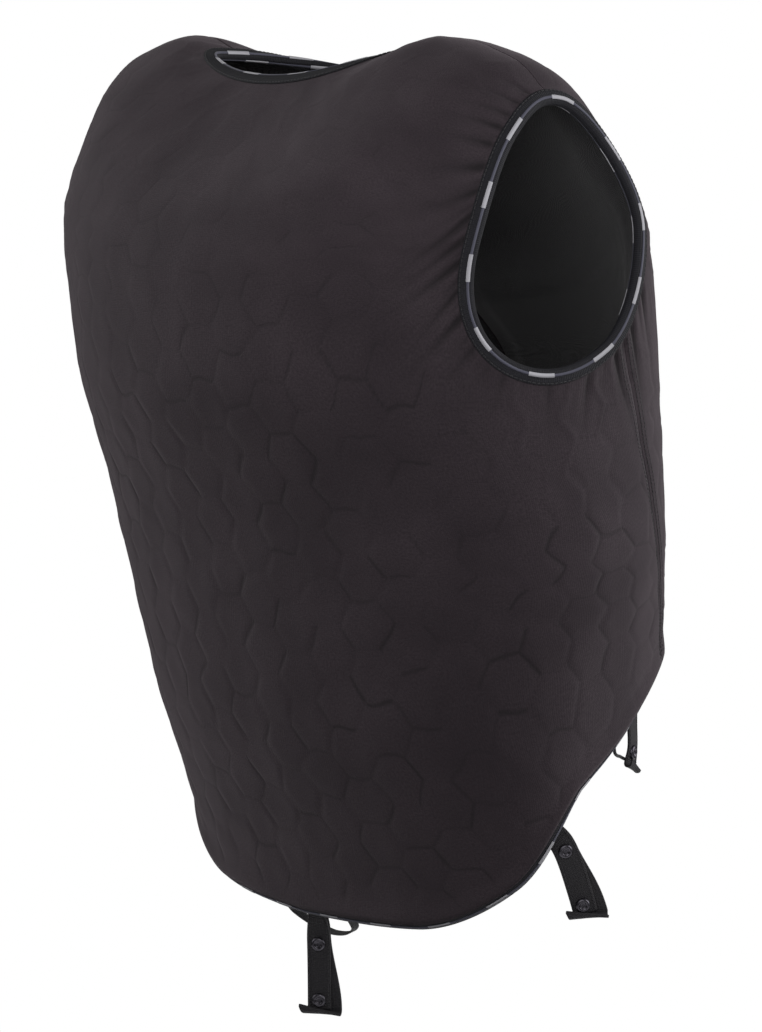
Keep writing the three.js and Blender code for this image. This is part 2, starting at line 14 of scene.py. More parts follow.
import bmesh
import bpy
import numpy as np
from bpy.types import ID, Material, Mesh, Node, NodeSocket, NodeTree, Object, Scene
from mathutils import Matrix, Vector


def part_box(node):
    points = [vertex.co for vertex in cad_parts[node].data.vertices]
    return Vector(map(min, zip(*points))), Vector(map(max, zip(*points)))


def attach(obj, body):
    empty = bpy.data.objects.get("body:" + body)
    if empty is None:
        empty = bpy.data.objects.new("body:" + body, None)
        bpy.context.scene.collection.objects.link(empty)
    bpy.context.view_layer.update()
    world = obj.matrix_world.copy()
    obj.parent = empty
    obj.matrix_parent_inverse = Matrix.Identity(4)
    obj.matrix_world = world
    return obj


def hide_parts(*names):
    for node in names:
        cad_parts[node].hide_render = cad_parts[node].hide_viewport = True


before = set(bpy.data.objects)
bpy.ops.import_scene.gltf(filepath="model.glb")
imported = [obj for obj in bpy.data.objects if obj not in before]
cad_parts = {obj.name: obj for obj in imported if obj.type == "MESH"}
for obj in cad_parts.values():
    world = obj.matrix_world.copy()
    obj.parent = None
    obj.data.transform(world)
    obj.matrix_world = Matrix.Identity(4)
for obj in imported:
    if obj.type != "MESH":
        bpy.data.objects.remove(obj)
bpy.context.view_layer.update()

MM = 0.001
BODY = "root"
UV_NAME = "surface"
LOG = logging.getLogger("vest")
Array = np.ndarray
Values = Array | float


class Edge(Enum):
    """Stretches of a panel's outer edge."""

    NECK = "neck"
    CENTRE = "centre"
    HEM = "hem"
    ZIP = "zip"


class Panel(Enum):
    """The sewn panels of one half of the vest."""

    BACK = "back"
    FRONT = "front"


class Side(Enum):
    """Half of the vest, with the sign of its turns."""

    RIGHT = 1
    LEFT = -1


def linear(code: str) -> tuple[float, float, float, float]:
    """Linear colour of an sRGB hex value.

    Args:
        code: A value such as "#2c292d".

    Returns:
        Red, green, blue and full alpha.
    """
    parts = [int(code[i:i + 2], 16) / 255 for i in (1, 3, 5)]
    red, green, blue = (c / 12.92 if c <= 0.04045 else ((c + 0.055) / 1.055) ** 2.4 for c in parts)
    return (red, green, blue, 1.0)


def unit(vectors: Array) -> Array:
    """Vectors of the same directions with length 1."""
    return vectors / np.linalg.norm(vectors, axis=-1, keepdims=True)


def smoothstep(values: Values, low: float, high: float) -> Array:
    """Smooth rise from 0 at low to 1 at high."""
    share = np.clip((np.asarray(values, float) - low) / (high - low), 0, 1)
    return share * share * (3 - 2 * share)


def turned(vector: Array, axis: Array, angle: float) -> Array:
    """A vector turned about a unit axis by an angle in radians."""
    along = axis * np.dot(axis, vector)
    return along + (vector - along) * math.cos(angle) + np.cross(axis, vector) * math.sin(angle)


def run_lengths(points: Array) -> Array:
    """Length run along a row of points, or down each column of a grid of them, from 0."""
    steps = np.linalg.norm(np.diff(points, axis=0), axis=-1)
    return np.concatenate([np.zeros_like(steps[:1]), np.cumsum(steps, axis=0)])


def sampled(places: Values, run: Array, rows: Array) -> Array:
    """Rows that stand along a run, read at places between them."""
    return np.stack([np.interp(places, run, column) for column in rows.T], -1)


def waved(flat: Array, wave: float, angle: float, phase: float) -> Array:
    """A sine wave of a length in millimetres, which crosses flat places at an angle."""
    run = flat @ np.array([math.cos(angle), math.sin(angle)])
    return np.sin(run * 2 * math.pi / wave + phase)


def hashed(first: Array, second: Array, salt: float = 0.0) -> Array:
    """A fixed number from 0 to 1 for each pair of whole numbers."""
    # Large uneven factors make the numbers of near pairs unlike.
    wave = np.sin(first * 12.9898 + second * 78.233 + salt * 37.719) * 43758.5453
    return wave - np.floor(wave)


def curve_through(xs: Sequence[float], ys: Sequence[float]) -> Callable[[Values], Array]:
    """A smooth curve through knots that never overshoots them.

    Args:
        xs: Rising places of the knots.
        ys: Values at the knots.

    Returns:
        A function of places, which holds the end values outside the knots.
    """
    xs, ys = np.asarray(xs, float), np.asarray(ys, float)
    run = np.diff(xs)
    rise = np.diff(ys) / run
    before = 2 * run[1:] + run[:-1]
    after = run[1:] + 2 * run[:-1]
    level = rise[:-1] * rise[1:] <= 0
    first, second = np.where(level, 1, rise[:-1]), np.where(level, 1, rise[1:])
    middle = np.where(level, 0, (before + after) / (before / first + after / second))
    slope = np.concatenate([rise[:1], middle, rise[-1:]])

    def at(places: Values) -> Array:
        """Values of the curve at the places."""
        x = np.clip(places, xs[0], xs[-1])
        i = np.clip(np.searchsorted(xs, x) - 1, 0, len(run) - 1)
        t = (x - xs[i]) / run[i]
        ease = t * t * (3 - 2 * t)
        enter = run[i] * slope[i] * t * (1 - t) ** 2
        leave = run[i] * slope[i + 1] * t * t * (t - 1)
        return ys[i] + (ys[i + 1] - ys[i]) * ease + enter + leave

    return at


def smooth_route(points: Sequence[Array], count: int) -> Array:
    """Even steps along a rounded route through points.

    Args:
        points: The points of the route, in order.
        count: How many steps to make.

    Returns:
        count + 1 points.
    """
    steps_between = 24
    knots = np.array([2 * points[0] - points[1], *points, 2 * points[-1] - points[-2]])
    gaps = np.sqrt(np.linalg.norm(np.diff(knots, axis=0), axis=1))
    times = np.concatenate([[0], np.cumsum(gaps)])
    fine = []
    for i in range(1, len(knots) - 2):
        for t in np.linspace(times[i], times[i + 1], steps_between, endpoint=False):
            row, near = knots[i - 1:i + 3], times[i - 1:i + 3]
            for width in (1, 2, 3):
                row = [
                    ((near[k + width] - t) * row[k] + (t - near[k]) * row[k + 1])
                    / (near[k + width] - near[k]) for k in range(4 - width)]
            fine.append(row[0])
    fine = np.array([*fine, knots[-2]])
    length = run_lengths(fine)
    return sampled(np.linspace(0, length[-1], count + 1), length, fine)


# The vest's form


@dataclass
class TorsoForm:
    """Outer form of the vest, with its armholes, hem and wall.

    Attributes:
        rings: Rows from neck to tail of half width, reach to the back, reach to the front, where the
            side stands between them, and height at the side, back and front. They stand evenly in level.
        hem: Rows of turn and height of the hem's lower edge.
    """

    rings: tuple[tuple[float, ...], ...] = (
        (96, 76, -78, 42, -9, -29, -40),
        (129, 106, -76, 33, 1, -63, -88),
        (185, 133, -82, 22, -13, -92, -106),
        (220, 150, -85, 5, -49, -114, -131),
        (246, 157, -111, -7, -116, -148, -166),
        (233, 153, -150, -8.7, -215, -215, -215),
        (226, 115, -168, -15, -320, -320, -320),
        (198, 95, -190, -21.3, -430, -430, -430),
        (180, 54, -132, -27.7, -540, -540, -540),
        (128, 32, -112, -34, -640, -640, -640),
    )
    hem: tuple[tuple[float, float], ...] = (
        (0, -583), (35, -578), (65, -546), (95, -470), (130, -408), (180, -440))
    squareness: float = 2.1
    chest_level: float = 4 / 9
    armhole_turn: float = 80.8
    armhole_level: float = 0.579
    armhole_half_turn: float = 22.7
    armhole_half_level: float = 0.129
    armhole_egg: float = 0.256
    armhole_lean: float = 5.2
    shoulder_seam: float = 97
    side_seam: float = 124
    wall: float = 18
    edge_wall: float = 5
    wall_taper: float = 40
    binding_width: float = 8
    binding_thickness: float = 7
    zip_half_width: float = 6.35

    def __post_init__(self) -> None:
        """Makes the smooth curves through the tables."""
        levels = np.linspace(0, 1, len(self.rings))
        names = ("half", "back", "front", "side_y", "side_z", "back_z", "front_z")
        columns = np.array(self.rings[::-1], float).T
        self.section = {name: curve_through(levels, column) for name, column in zip(names, columns)}
        self.hem_curve = curve_through(*np.array(self.hem, float).T)

    def point(self, turn: Values, level: Values) -> Array:
        """Points of the outer surface.

        Args:
            turn: Turns of the places.
            level: Their levels.

        Returns:
            Points in millimetres.
        """
        turn, level = np.broadcast_arrays(np.asarray(turn, float), np.asarray(level, float))
        sine, cosine = np.sin(np.radians(turn)), np.cos(np.radians(turn))
        power = 2 / self.squareness
        across = np.sign(sine) * np.abs(sine) ** power
        along = np.sign(cosine) * np.abs(cosine) ** power
        ring = {name: column(level) for name, column in self.section.items()}
        flank = ring["side_y"]
        reach = np.where(cosine > 0, ring["back"] - flank, flank - ring["front"])
        to_back, to_front = np.maximum(cosine, 0) ** 2, np.maximum(-cosine, 0) ** 2
        height = (ring["side_z"] * (1 - to_back - to_front)
                  + ring["back_z"] * to_back + ring["front_z"] * to_front)
        return np.stack([-ring["half"] * across, flank + reach * along, height], -1)

    def normal(self, turn: Values, level: Values) -> Array:
        """Outward normals of the surface, from a small step to each side.

        Args:
            turn: Turns of the places.
            level: Their levels.

        Returns:
            Unit directions.
        """
        turn_step, level_step = 1.0, 0.006
        turn, level = np.broadcast_arrays(np.asarray(turn, float), np.asarray(level, float))
        high = np.minimum(level + level_step, 1)
        around = self.point(turn + turn_step, level) - self.point(turn - turn_step, level)
        rise = self.point(turn, high) - self.point(turn, high - 2 * level_step)
        return unit(np.cross(around, rise))

    def hem_level(self, turn: Values) -> Array:
        """Level of the panels' own lower edge, which stops short of the hem by its binding."""
        levels = np.linspace(0, 0.5, 4001)
        target = self.hem_curve(np.abs(turn)) + self.binding_width
        return np.interp(target, self.section["side_z"](levels), levels)

    def zip_turn(self, level: Values) -> Array:
        """Turn at which the front panel stops beside the zip."""
        share = (self.zip_half_width / self.section["half"](level)) ** (self.squareness / 2)
        return 180 - np.degrees(np.arcsin(share))

    def armhole(self, angle: Values) -> tuple[Array, Array]:
        """Turn and level of the armhole's edge, by degrees from its top towards the back."""
        sine, cosine = -np.sin(np.radians(angle)), np.cos(np.radians(angle))
        turn = (self.armhole_turn + self.armhole_lean * cosine
                + self.armhole_half_turn * sine * (1 - self.armhole_egg * cosine))
        return turn, self.armhole_level + self.armhole_half_level * cosine


@dataclass
class FlatCloth:
    """Unrolls the torso, so that tiles and weave keep their size all over it.

    Attributes:
        form: The torso.
        turns: Turns of the table.
        levels: Levels of the table.
        most_lean: Steepest slant at which a row of tiles follows the body.
    """

    form: TorsoForm
    turns: Array = field(default_factory=lambda: np.linspace(-180, 180, 181))
    levels: Array = field(default_factory=lambda: np.linspace(0, 1, 181))
    most_lean: float = 0.5

    def __post_init__(self) -> None:
        """Measures the table of lengths round and down the torso."""
        grid = self.form.point(self.turns[:, None], self.levels[None, :])
        start = len(self.turns) // 2
        around, up = run_lengths(grid), run_lengths(grid.swapaxes(0, 1)).T
        steps = np.diff(around, axis=0)
        around -= around[start]
        chest = np.array([np.interp(self.form.chest_level, self.levels, row) for row in up])
        lean = np.gradient(around, axis=1) / np.gradient(up, axis=1)
        lean = np.clip(lean, -self.most_lean, self.most_lean)
        tilt = (lean[1:] + lean[:-1]) / 2 * steps
        rows = np.concatenate([np.zeros_like(tilt[:1]), np.cumsum(tilt, axis=0)])
        self.table = np.stack([around, chest[:, None] - up + rows - rows[start]], -1)

    def at(self, turn: Array, level: Array) -> Array:
        """Flat places of the cloth, read from the table.

        Args:
            turn: Turns of the places.
            level: Their levels.

        Returns:
            Places across and down in millimetres.
        """
        x = np.clip((turn - self.turns[0]) / (self.turns[1] - self.turns[0]), 0, len(self.turns) - 1.001)
        y = np.clip(level / (self.levels[1] - self.levels[0]), 0, len(self.levels) - 1.001)
        i, j = np.floor(x).astype(int), np.floor(y).astype(int)
        u, v = (x - i)[..., None], (y - j)[..., None]
        low, high = (
            self.table[i, k] * (1 - u) + self.table[i + 1, k] * u for k in (j, j + 1))
        return low * (1 - v) + high * v


# Meshes


def link(name: str, data: ID) -> Object:
    """An object of its data, at the origin and linked to the scene."""
    made = bpy.data.objects.new(name, data)
    bpy.context.scene.collection.objects.link(made)
    return made


def smooth_object(name: str, mesh: Mesh, shape: bmesh.types.BMesh,
                  sharp: float | None) -> Object:
    """Makes a smooth shaded object of a shape, with its faces pointing out.

    Args:
        name: The object's name.
        mesh: The mesh that takes the shape.
        shape: The shape, which is freed.
        sharp: Degrees past which an edge stays sharp, or None.

    Returns:
        The object, linked to the scene.
    """
    bmesh.ops.recalc_face_normals(shape, faces=shape.faces[:])
    shape.to_mesh(mesh)
    shape.free()
    mesh.polygons.foreach_set("use_smooth", np.ones(len(mesh.polygons), bool))
    if sharp is not None:
        mesh.set_sharp_from_angle(angle=math.radians(sharp))
    return link(name, mesh)


@dataclass
class MeshDraft:
    """Gathers points and faces in millimetres and makes one object of them."""

    points: list[Array] = field(default_factory=list)
    corners: list[Array] = field(default_factory=list)
    spots: list[Array] = field(default_factory=list)
    sizes: list[Array] = field(default_factory=list)
    finishes: list[Array] = field(default_factory=list)
    count: int = 0

    def add_points(self, points: Array) -> Array:
        """Adds points and gives their numbers, in the same layout."""
        flat = points.reshape(-1, 3)
        numbers = self.count + np.arange(len(flat)).reshape(points.shape[:-1])
        self.points.append(flat)
        self.count += len(flat)
        return numbers

    def add_quads(self, numbers: Array, spots: Array, finish: int = 0) -> None:
        """Joins a grid of point numbers with four-cornered faces.

        Args:
            numbers: Point numbers, rows by columns.
            spots: UV places of the same layout, in millimetres.
            finish: The faces' material slot.
        """
        def fours(grid: Array) -> Array:
            """The four corners of each face."""
            return np.stack([grid[:-1, :-1], grid[1:, :-1], grid[1:, 1:], grid[:-1, 1:]], 2)
        faces = fours(numbers).reshape(-1)
        self.corners.append(faces)
        self.spots.append(fours(spots).reshape(-1, 2))
        self.sizes.append(np.full(len(faces) // 4, 4))
        self.finishes.append(np.full(len(faces) // 4, finish))

    def add_face(self, numbers: Sequence[int]) -> None:
        """Adds one face of any count of corners, in the first material slot."""
        self.corners.append(np.asarray(numbers))
        self.spots.append(np.zeros((len(numbers), 2)))
        self.sizes.append(np.array([len(numbers)]))
        self.finishes.append(np.array([0]))

    def add_sweep(self, sections: Array, ring: bool = False) -> None:
        """Joins closed sections into a tube, closed in a ring or capped at its ends.

        Args:
            sections: Points, sections by corners.
            ring: True if the last section joins the first.
        """
        numbers = self.add_points(sections)
        closed = np.concatenate([numbers, numbers[:, :1]], 1)
        loop = np.concatenate([sections, sections[:, :1]], 1)
        if ring:
            closed = np.concatenate([closed, closed[:1]])
            loop = np.concatenate([loop, loop[:1]])
        along, around = run_lengths(loop.mean(1)), run_lengths(loop[len(loop) // 2])
        self.add_quads(closed, np.stack(np.meshgrid(along, around, indexing="ij"), -1))
        if not ring:
            self.add_face(numbers[0])
            self.add_face(numbers[-1][::-1])

    def to_object(self, name: str, materials: Sequence[Material],
                  sharp: float | None = None) -> Object:
        """Makes the object, smooth shaded and with its faces pointing out.

        Args:
            name: The object's name.
            materials: Its material slots.
            sharp: Degrees past which an edge stays sharp, or None.

        Returns:
            The object, linked to the scene.
        """
        corners, sizes = np.concatenate(self.corners), np.concatenate(self.sizes)
        used, corners = np.unique(corners, return_inverse=True)
        points = np.concatenate(self.points)[used] * MM
        mesh = bpy.data.meshes.new(name)
        mesh.vertices.add(len(points))
        mesh.vertices.foreach_set("co", points.astype(np.float32).ravel())
        mesh.loops.add(len(corners))
        mesh.loops.foreach_set("vertex_index", corners.astype(np.int32).ravel())
        mesh.polygons.add(len(sizes))
        starts = np.concatenate([[0], np.cumsum(sizes)[:-1]])
        mesh.polygons.foreach_set("loop_start", starts.astype(np.int32))
        mesh.polygons.foreach_set("material_index", np.concatenate(self.finishes).astype(np.int32))
        layer = mesh.uv_layers.new(name=UV_NAME)
        layer.data.foreach_set("uv", (np.concatenate(self.spots) * MM).astype(np.float32).ravel())
        mesh.update(calc_edges=True)
        mesh.validate()
        for material in materials:
            mesh.materials.append(material)
        shape = bmesh.new()
        shape.from_mesh(mesh)
        return smooth_object(name, mesh, shape, sharp)


def wire(tree: NodeTree, node: Node, inputs: dict) -> None:
    """Sets a node's inputs.

    Args:
        tree: The node's tree.
        node: The node.
        inputs: Values or linked sockets, by the input's name or number.
    """
    for key, value in inputs.items():
        if isinstance(value, NodeSocket):
            tree.links.new(value, node.inputs[key])
        else:
            node.inputs[key].default_value = value


def add_node(tree: NodeTree, kind: str, inputs: dict | None = None, **settings) -> Node:
    """Adds a node with its settings, values and links.

    Args:
        tree: The tree that gets the node.
        kind: The node's type.
        inputs: Values or linked sockets, by the input's name or number.
        settings: The node's own properties.

    Returns:
        The node.
    """
    node = tree.nodes.new(kind)
    for name, value in settings.items():
        setattr(node, name, value)
    wire(tree, node, inputs or {})
    return node


def keep(piece: Object, slot: str, *nodes: str) -> Object:
    """Fixes a finished piece to the vest.

    Args:
        piece: The finished piece.
        slot: The record's material slot; not used.
        nodes: The solids that the piece stands for.

    Returns:
        The piece.
    """
    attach(piece, BODY)
    if nodes:
        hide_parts(*nodes)
    LOG.info("%s: %d faces", piece.name, len(piece.data.polygons))
    return piece


# Finishes


def new_material(name: str) -> tuple[Material, NodeTree, Node]:
    """A material with its tree and its main shader node."""
    material = bpy.data.materials.new(name)
    material.use_nodes = True
    tree = material.node_tree
    return material, tree, tree.nodes["Principled BSDF"]


# A wave texture's bands stand 0.1 pi apart at scale 1.
WAVE_PERIOD = math.pi / 10


@dataclass(frozen=True)
class StretchCloth:
    """Matte black nylon and elastane knit, drawn tight over foam tiles.

    It gives the eye a deep soft black with a faint purple cast, a pale powdery lift where it is seen
    edge on, a fine weave and thin creases over some of the joints between tiles and in the gathers,
    with the creases' shade painted into the colour as a darker tone.
    """

    colour: str = "#2a2328"
    worn: str = "#3c3439"
    # Painted shade: the cloth's colour goes to this dark tone in creases and folds, where shade falls.
    crease: str = "#1c181b"
    bloom: str = "#e6d8e0"
    tile: float = 34
    crease_width: float = 2.5
    crease_depth: float = 0.3
    # The real threads are about 0.4 mm apart; they are drawn coarser so that they show.
    thread: float = 1.5
    thread_depth: float = 0.25
    clouds: float = 14
    specks: float = 650
    roughness: float = 0.88
    sheen: float = 0.14

    def build(self) -> Material:
        """Makes the material."""
        material, tree, shader = new_material("stretch_knit_black")
        uv = add_node(tree, "ShaderNodeUVMap", uv_map=UV_NAME).outputs[0]
        marks = self.marks(tree, uv)
        cloud, speck = (
            add_node(tree, "ShaderNodeTexNoise", {
                "Vector": uv, "Scale": scale, "Detail": detail}).outputs[0]
            for scale, detail in ((self.clouds, 5.0), (self.specks, 2.0)))
        blend = add_node(tree, "ShaderNodeMath", {0: cloud, 1: speck}, operation="MULTIPLY")
        tone = add_node(tree, "ShaderNodeMapRange", {0: blend.outputs[0], 1: 0.12, 2: 0.42})
        base = add_node(tree, "ShaderNodeMix", {
            "Factor": tone.outputs[0], "A": linear(self.colour), "B": linear(self.worn)}, data_type="RGBA")
        # Painted shade: darkens the colour in the creases at tile joints and in the gathers' folds.
        crease_shade = add_node(tree, "ShaderNodeMix", {
            "Factor": marks, "A": base.outputs[2], "B": linear(self.crease)}, data_type="RGBA")
        threads = {"Vector": uv, "Scale": WAVE_PERIOD / (self.thread * MM), "Distortion": 0.6}
        warp, weft = (
            add_node(tree, "ShaderNodeTexWave", threads, bands_direction=way).outputs[1] for way in "XY")
        weave = add_node(tree, "ShaderNodeMath", {0: warp, 1: weft}, operation="MULTIPLY")
        rough = add_node(tree, "ShaderNodeMath", {0: weave.outputs[0], 1: speck}, operation="ADD")
        fine = add_node(tree, "ShaderNodeBump", {
            "Height": rough.outputs[0], "Strength": 0.35, "Distance": self.thread_depth * MM})
        folds = add_node(tree, "ShaderNodeBump", {
            "Height": marks, "Strength": 1.0, "Distance": self.crease_depth * MM,
            "Normal": fine.outputs[0]}, invert=True)
        wire(tree, shader, {
            "Base Color": crease_shade.outputs[2], "Normal": folds.outputs[0], "Roughness": self.roughness,
            "Specular IOR Level": 0.28, "Sheen Weight": self.sheen, "Sheen Roughness": 0.45,
            "Sheen Tint": linear(self.bloom)})
        return material

    def marks(self, tree: NodeTree, uv: NodeSocket) -> NodeSocket:
        """How deeply the cloth is creased, by tile joints and by gathers: 1 in a crease, 0 on smooth cloth.

        The value sets both the creases' bump and the shade painted into their colour.

        Args:
            tree: The material's tree.
            uv: Flat places of the cloth in metres.

        Returns:
            The socket of the value.
        """
        strength, fold = (
            add_node(tree, "ShaderNodeAttribute", attribute_name=name).outputs["Fac"]
            for name in ("crease", "fold"))
        line = self.tile_joint(tree, uv)
        joints = add_node(tree, "ShaderNodeMath", {0: line, 1: strength}, operation="MULTIPLY")
        marks = add_node(tree, "ShaderNodeMath", {0: joints.outputs[0], 1: fold}, operation="MAXIMUM")
        return marks.outputs[0]

    def tile_joint(self, tree: NodeTree, uv: NodeSocket) -> NodeSocket:
        """How near a place is to a joint between hexagon tiles: 1 on it, 0 away from it.

        Args:
            tree: The material's tree.
            uv: Flat places of the cloth in metres.

        Returns:
            The socket of the value.
        """
        high = self.tile * MM
        wide = high * math.sqrt(3)
        cell = (wide, high, 1.0)
        half = (wide / 2, high / 2, 0.5)
        reaches = []
        for shift in ((wide / 2, high / 2, 0.0), (0.0, 0.0, 0.0)):
            moved = add_node(tree, "ShaderNodeVectorMath", {0: uv, 1: shift}, operation="ADD")
            wrapped = add_node(tree, "ShaderNodeVectorMath", {
                0: moved.outputs[0], 1: cell, 2: (0, 0, 0)}, operation="WRAP")
            local = add_node(tree, "ShaderNodeVectorMath", {
                0: wrapped.outputs[0], 1: half}, operation="SUBTRACT")
            size = add_node(tree, "ShaderNodeVectorMath", {0: local.outputs[0]}, operation="ABSOLUTE")
            across, up, _ = add_node(tree, "ShaderNodeSeparateXYZ", {0: size.outputs[0]}).outputs
            lift = add_node(tree, "ShaderNodeMath", {0: up, 1: 0.5}, operation="MULTIPLY")
            slant = add_node(tree, "ShaderNodeMath", {
                0: across, 1: math.sqrt(3) / 2, 2: lift.outputs[0]}, operation="MULTIPLY_ADD")
            reach = add_node(tree, "ShaderNodeMath", {0: up, 1: slant.outputs[0]}, operation="MAXIMUM")
            reaches.append(reach.outputs[0])
        inside = add_node(tree, "ShaderNodeMath", {0: reaches[0], 1: reaches[1]}, operation="MINIMUM")
        joint = add_node(tree, "ShaderNodeMapRange", {
            0: inside.outputs[0], 1: high / 2 - self.crease_width * MM, 2: high / 2},
            interpolation_type="SMOOTHSTEP")
        return joint.outputs[0]


@dataclass(frozen=True)
class MeshLining:
    """Black warp-knit polyester lining, matt, with rows of small open holes."""

    colour: str = "#211f22"
    hole: str = "#181619"
    pitch: float = 1.3
    roughness: float = 0.9

    def build(self) -> Material:
        """Makes the material."""
        material, tree, shader = new_material("warp_knit_lining")
        uv = add_node(tree, "ShaderNodeUVMap", uv_map=UV_NAME).outputs[0]
        cells = add_node(tree, "ShaderNodeTexVoronoi", {
            "Vector": uv, "Scale": 1 / (self.pitch * MM), "Randomness": 0.12}, voronoi_dimensions="2D")
        holes = add_node(tree, "ShaderNodeMapRange", {0: cells.outputs["Distance"], 1: 0.42, 2: 0.2})
        colour = add_node(tree, "ShaderNodeMix", {
            "Factor": holes.outputs[0], "A": linear(self.colour), "B": linear(self.hole)}, data_type="RGBA")
        bump = add_node(tree, "ShaderNodeBump", {
            "Height": holes.outputs[0], "Strength": 0.6, "Distance": 0.5 * MM}, invert=True)
        wire(tree, shader, {
            "Base Color": colour.outputs[2], "Normal": bump.outputs[0], "Roughness": self.roughness,
            "Specular IOR Level": 0.2, "Sheen Weight": 0.15})
        return material


@dataclass(frozen=True)
class WovenBand:
    """Flat woven polyester or nylon: threads across and along, with a faint silky gloss.

    Attributes:
        name: The material's name.
        rib: Spacing of the cross ribs in millimetres, drawn coarse enough to show.
        dust: Size of the patches of dust in millimetres, where the ribs' painted highlight grows stronger.
        ribs_along: True if the ribs stand along the band instead of across it.
    """

    name: str
    colour: str
    # Painted highlight: the colour lightens to this on the high ribs within dust patches, which leaves
    # painted shade between the ribs.
    dust_and_rib_highlight: str
    rib: float
    roughness: float = 0.7
    depth: float = 0.25
    sheen: float = 0.1
    dust: float = 6.25
    ribs_along: bool = False

    def build(self) -> Material:
        """Makes the material."""
        material, tree, shader = new_material(self.name)
        uv = add_node(tree, "ShaderNodeUVMap", uv_map=UV_NAME).outputs[0]
        scale = WAVE_PERIOD / (self.rib * MM)
        ways = "YX" if self.ribs_along else "XY"
        ribs, cross = (
            add_node(tree, "ShaderNodeTexWave", {
                "Vector": uv, "Scale": scale * share, "Distortion": sway}, bands_direction=way).outputs[1]
            for way, share, sway in zip(ways, (1, 0.62), (0.4, 0.8)))
        height = add_node(tree, "ShaderNodeMath", {0: cross, 1: 0.5, 2: ribs}, operation="MULTIPLY_ADD")
        dust = add_node(tree, "ShaderNodeTexNoise", {
            "Vector": uv, "Scale": 1 / (self.dust * MM), "Detail": 4.0})
        # Painted shade between the ribs: the colour follows the ribs' height, lighter on their tops and more
        # so in the dust patches.
        shade = add_node(tree, "ShaderNodeMath", {
            0: dust.outputs[0], 1: height.outputs[0]}, operation="MULTIPLY")
        tone = add_node(tree, "ShaderNodeMapRange", {0: shade.outputs[0], 1: 0.15, 2: 0.75})
        colour = add_node(tree, "ShaderNodeMix", {
            "Factor": tone.outputs[0], "A": linear(self.colour), "B": linear(self.dust_and_rib_highlight)}, data_type="RGBA")
        bump = add_node(tree, "ShaderNodeBump", {
            "Height": height.outputs[0], "Strength": 0.8, "Distance": self.depth * MM})
        wire(tree, shader, {
            "Base Color": colour.outputs[2], "Normal": bump.outputs[0], "Roughness": self.roughness,
            "Specular IOR Level": 0.35, "Sheen Weight": self.sheen})
        return material


@dataclass(frozen=True)
class HardFinish:
    """Moulded plastic or plated metal with fine handling marks, on Object coordinates."""

    name: str
    colour: str
    marked: str
    metallic: float
    roughness: float
    mark: float = 1.6

    def build(self) -> Material:
        """Makes the material."""
        material, tree, shader = new_material(self.name)
        place = add_node(tree, "ShaderNodeTexCoord").outputs["Object"]
        marks = add_node(tree, "ShaderNodeTexNoise", {
            "Vector": place, "Scale": 1 / (self.mark * MM), "Detail": 6.0, "Roughness": 0.65})
        colour = add_node(tree, "ShaderNodeMix", {
            "Factor": marks.outputs[0], "A": linear(self.colour), "B": linear(self.marked)}, data_type="RGBA")
        rough = add_node(tree, "ShaderNodeMapRange", {
            0: marks.outputs[0], 1: 0.3, 2: 0.7, 3: self.roughness * 0.8, 4: self.roughness * 1.3})
        bump = add_node(tree, "ShaderNodeBump", {
            "Height": marks.outputs[0], "Strength": 0.25, "Distance": 0.05 * MM})
        wire(tree, shader, {
            "Base Color": colour.outputs[2], "Roughness": rough.outputs[0], "Normal": bump.outputs[0],
            "Metallic": self.metallic})
        return material


@dataclass
class Finishes:
    """Every finish of the vest, made once."""

    def __post_init__(self) -> None:
        """Makes the materials."""
        self.cloth = StretchCloth().build()
        self.lining = MeshLining().build()
        self.tape = WovenBand("polyester_binding_tape", "#0a0a10", "#15141c", 1.2, 0.78, 0.2, 0.02).build()
        self.dash = WovenBand("white_woven_yarn", "#a9a8ae", "#dad9de", 0.9, 0.75, 0.2).build()
        self.line = WovenBand("grey_woven_yarn", "#4b4b58", "#7a7a88", 0.9, 0.75, 0.15).build()
        self.webbing = WovenBand("nylon_webbing_black", "#110f13", "#1e1b20", 1.1, 0.7, 0.22, 0.05).build()
        self.elastic = WovenBand(
            "braided_elastic_black", "#1b1b1d", "#37373a", 1.1, 0.7, 0.3, ribs_along=True).build()
        self.thread = WovenBand("polyester_thread_black", "#161518", "#2c2a2f", 0.6, 0.6, 0.1).build()
        self.zip_tape = WovenBand("polyester_zip_tape", "#131314", "#242326", 1.3, 0.75, 0.2).build()
        self.coil = HardFinish("nylon_zip_teeth", "#121214", "#1e1e21", 0.0, 0.38).build()
        self.slider = HardFinish("enamelled_zinc_black", "#141416", "#29292c", 0.0, 0.3).build()
        self.stud = HardFinish("gunmetal_plated_brass", "#2f2d32", "#57555b", 1.0, 0.36, 2.2).build()


# Rows of small things along paths


@dataclass
class PathRows:
    """Paths on the vest's surfaces that carry rows of stitches, dashes or teeth.

    Each path is a run of points with the direction that its row faces.
    """

    points: list[Array] = field(default_factory=list)
    facings: list[Array] = field(default_factory=list)
    runs: list[Array] = field(default_factory=list)

    def add(self, points: Array, facing: Array, start: float = 0.0) -> None:
        """Adds one path.

        Args:
            points: Points in millimetres.
            facing: Unit directions away from the surface.
            start: Run at the first point, which shifts a pattern along the path.
        """
        self.points.append(points)
        self.facings.append(facing)
        self.runs.append(run_lengths(points) + start)

    def to_object(self, name: str) -> Object:
        """An object of bare edges with the attributes facing and run."""
        mesh = bpy.data.meshes.new(name)
        edges, first = [], 0
        for row in self.points:
            edges += [(first + i, first + i + 1) for i in range(len(row) - 1)]
            first += len(row)
        mesh.from_pydata((np.concatenate(self.points) * MM).tolist(), edges, [])
        facing = mesh.attributes.new("facing", "FLOAT_VECTOR", "POINT")
        facing.data.foreach_set("vector", np.concatenate(self.facings).astype(np.float32).ravel())
        run = mesh.attributes.new("run", "FLOAT", "POINT")
        run.data.foreach_set("value", (np.concatenate(self.runs) * MM).astype(np.float32))
        return link(name, mesh)


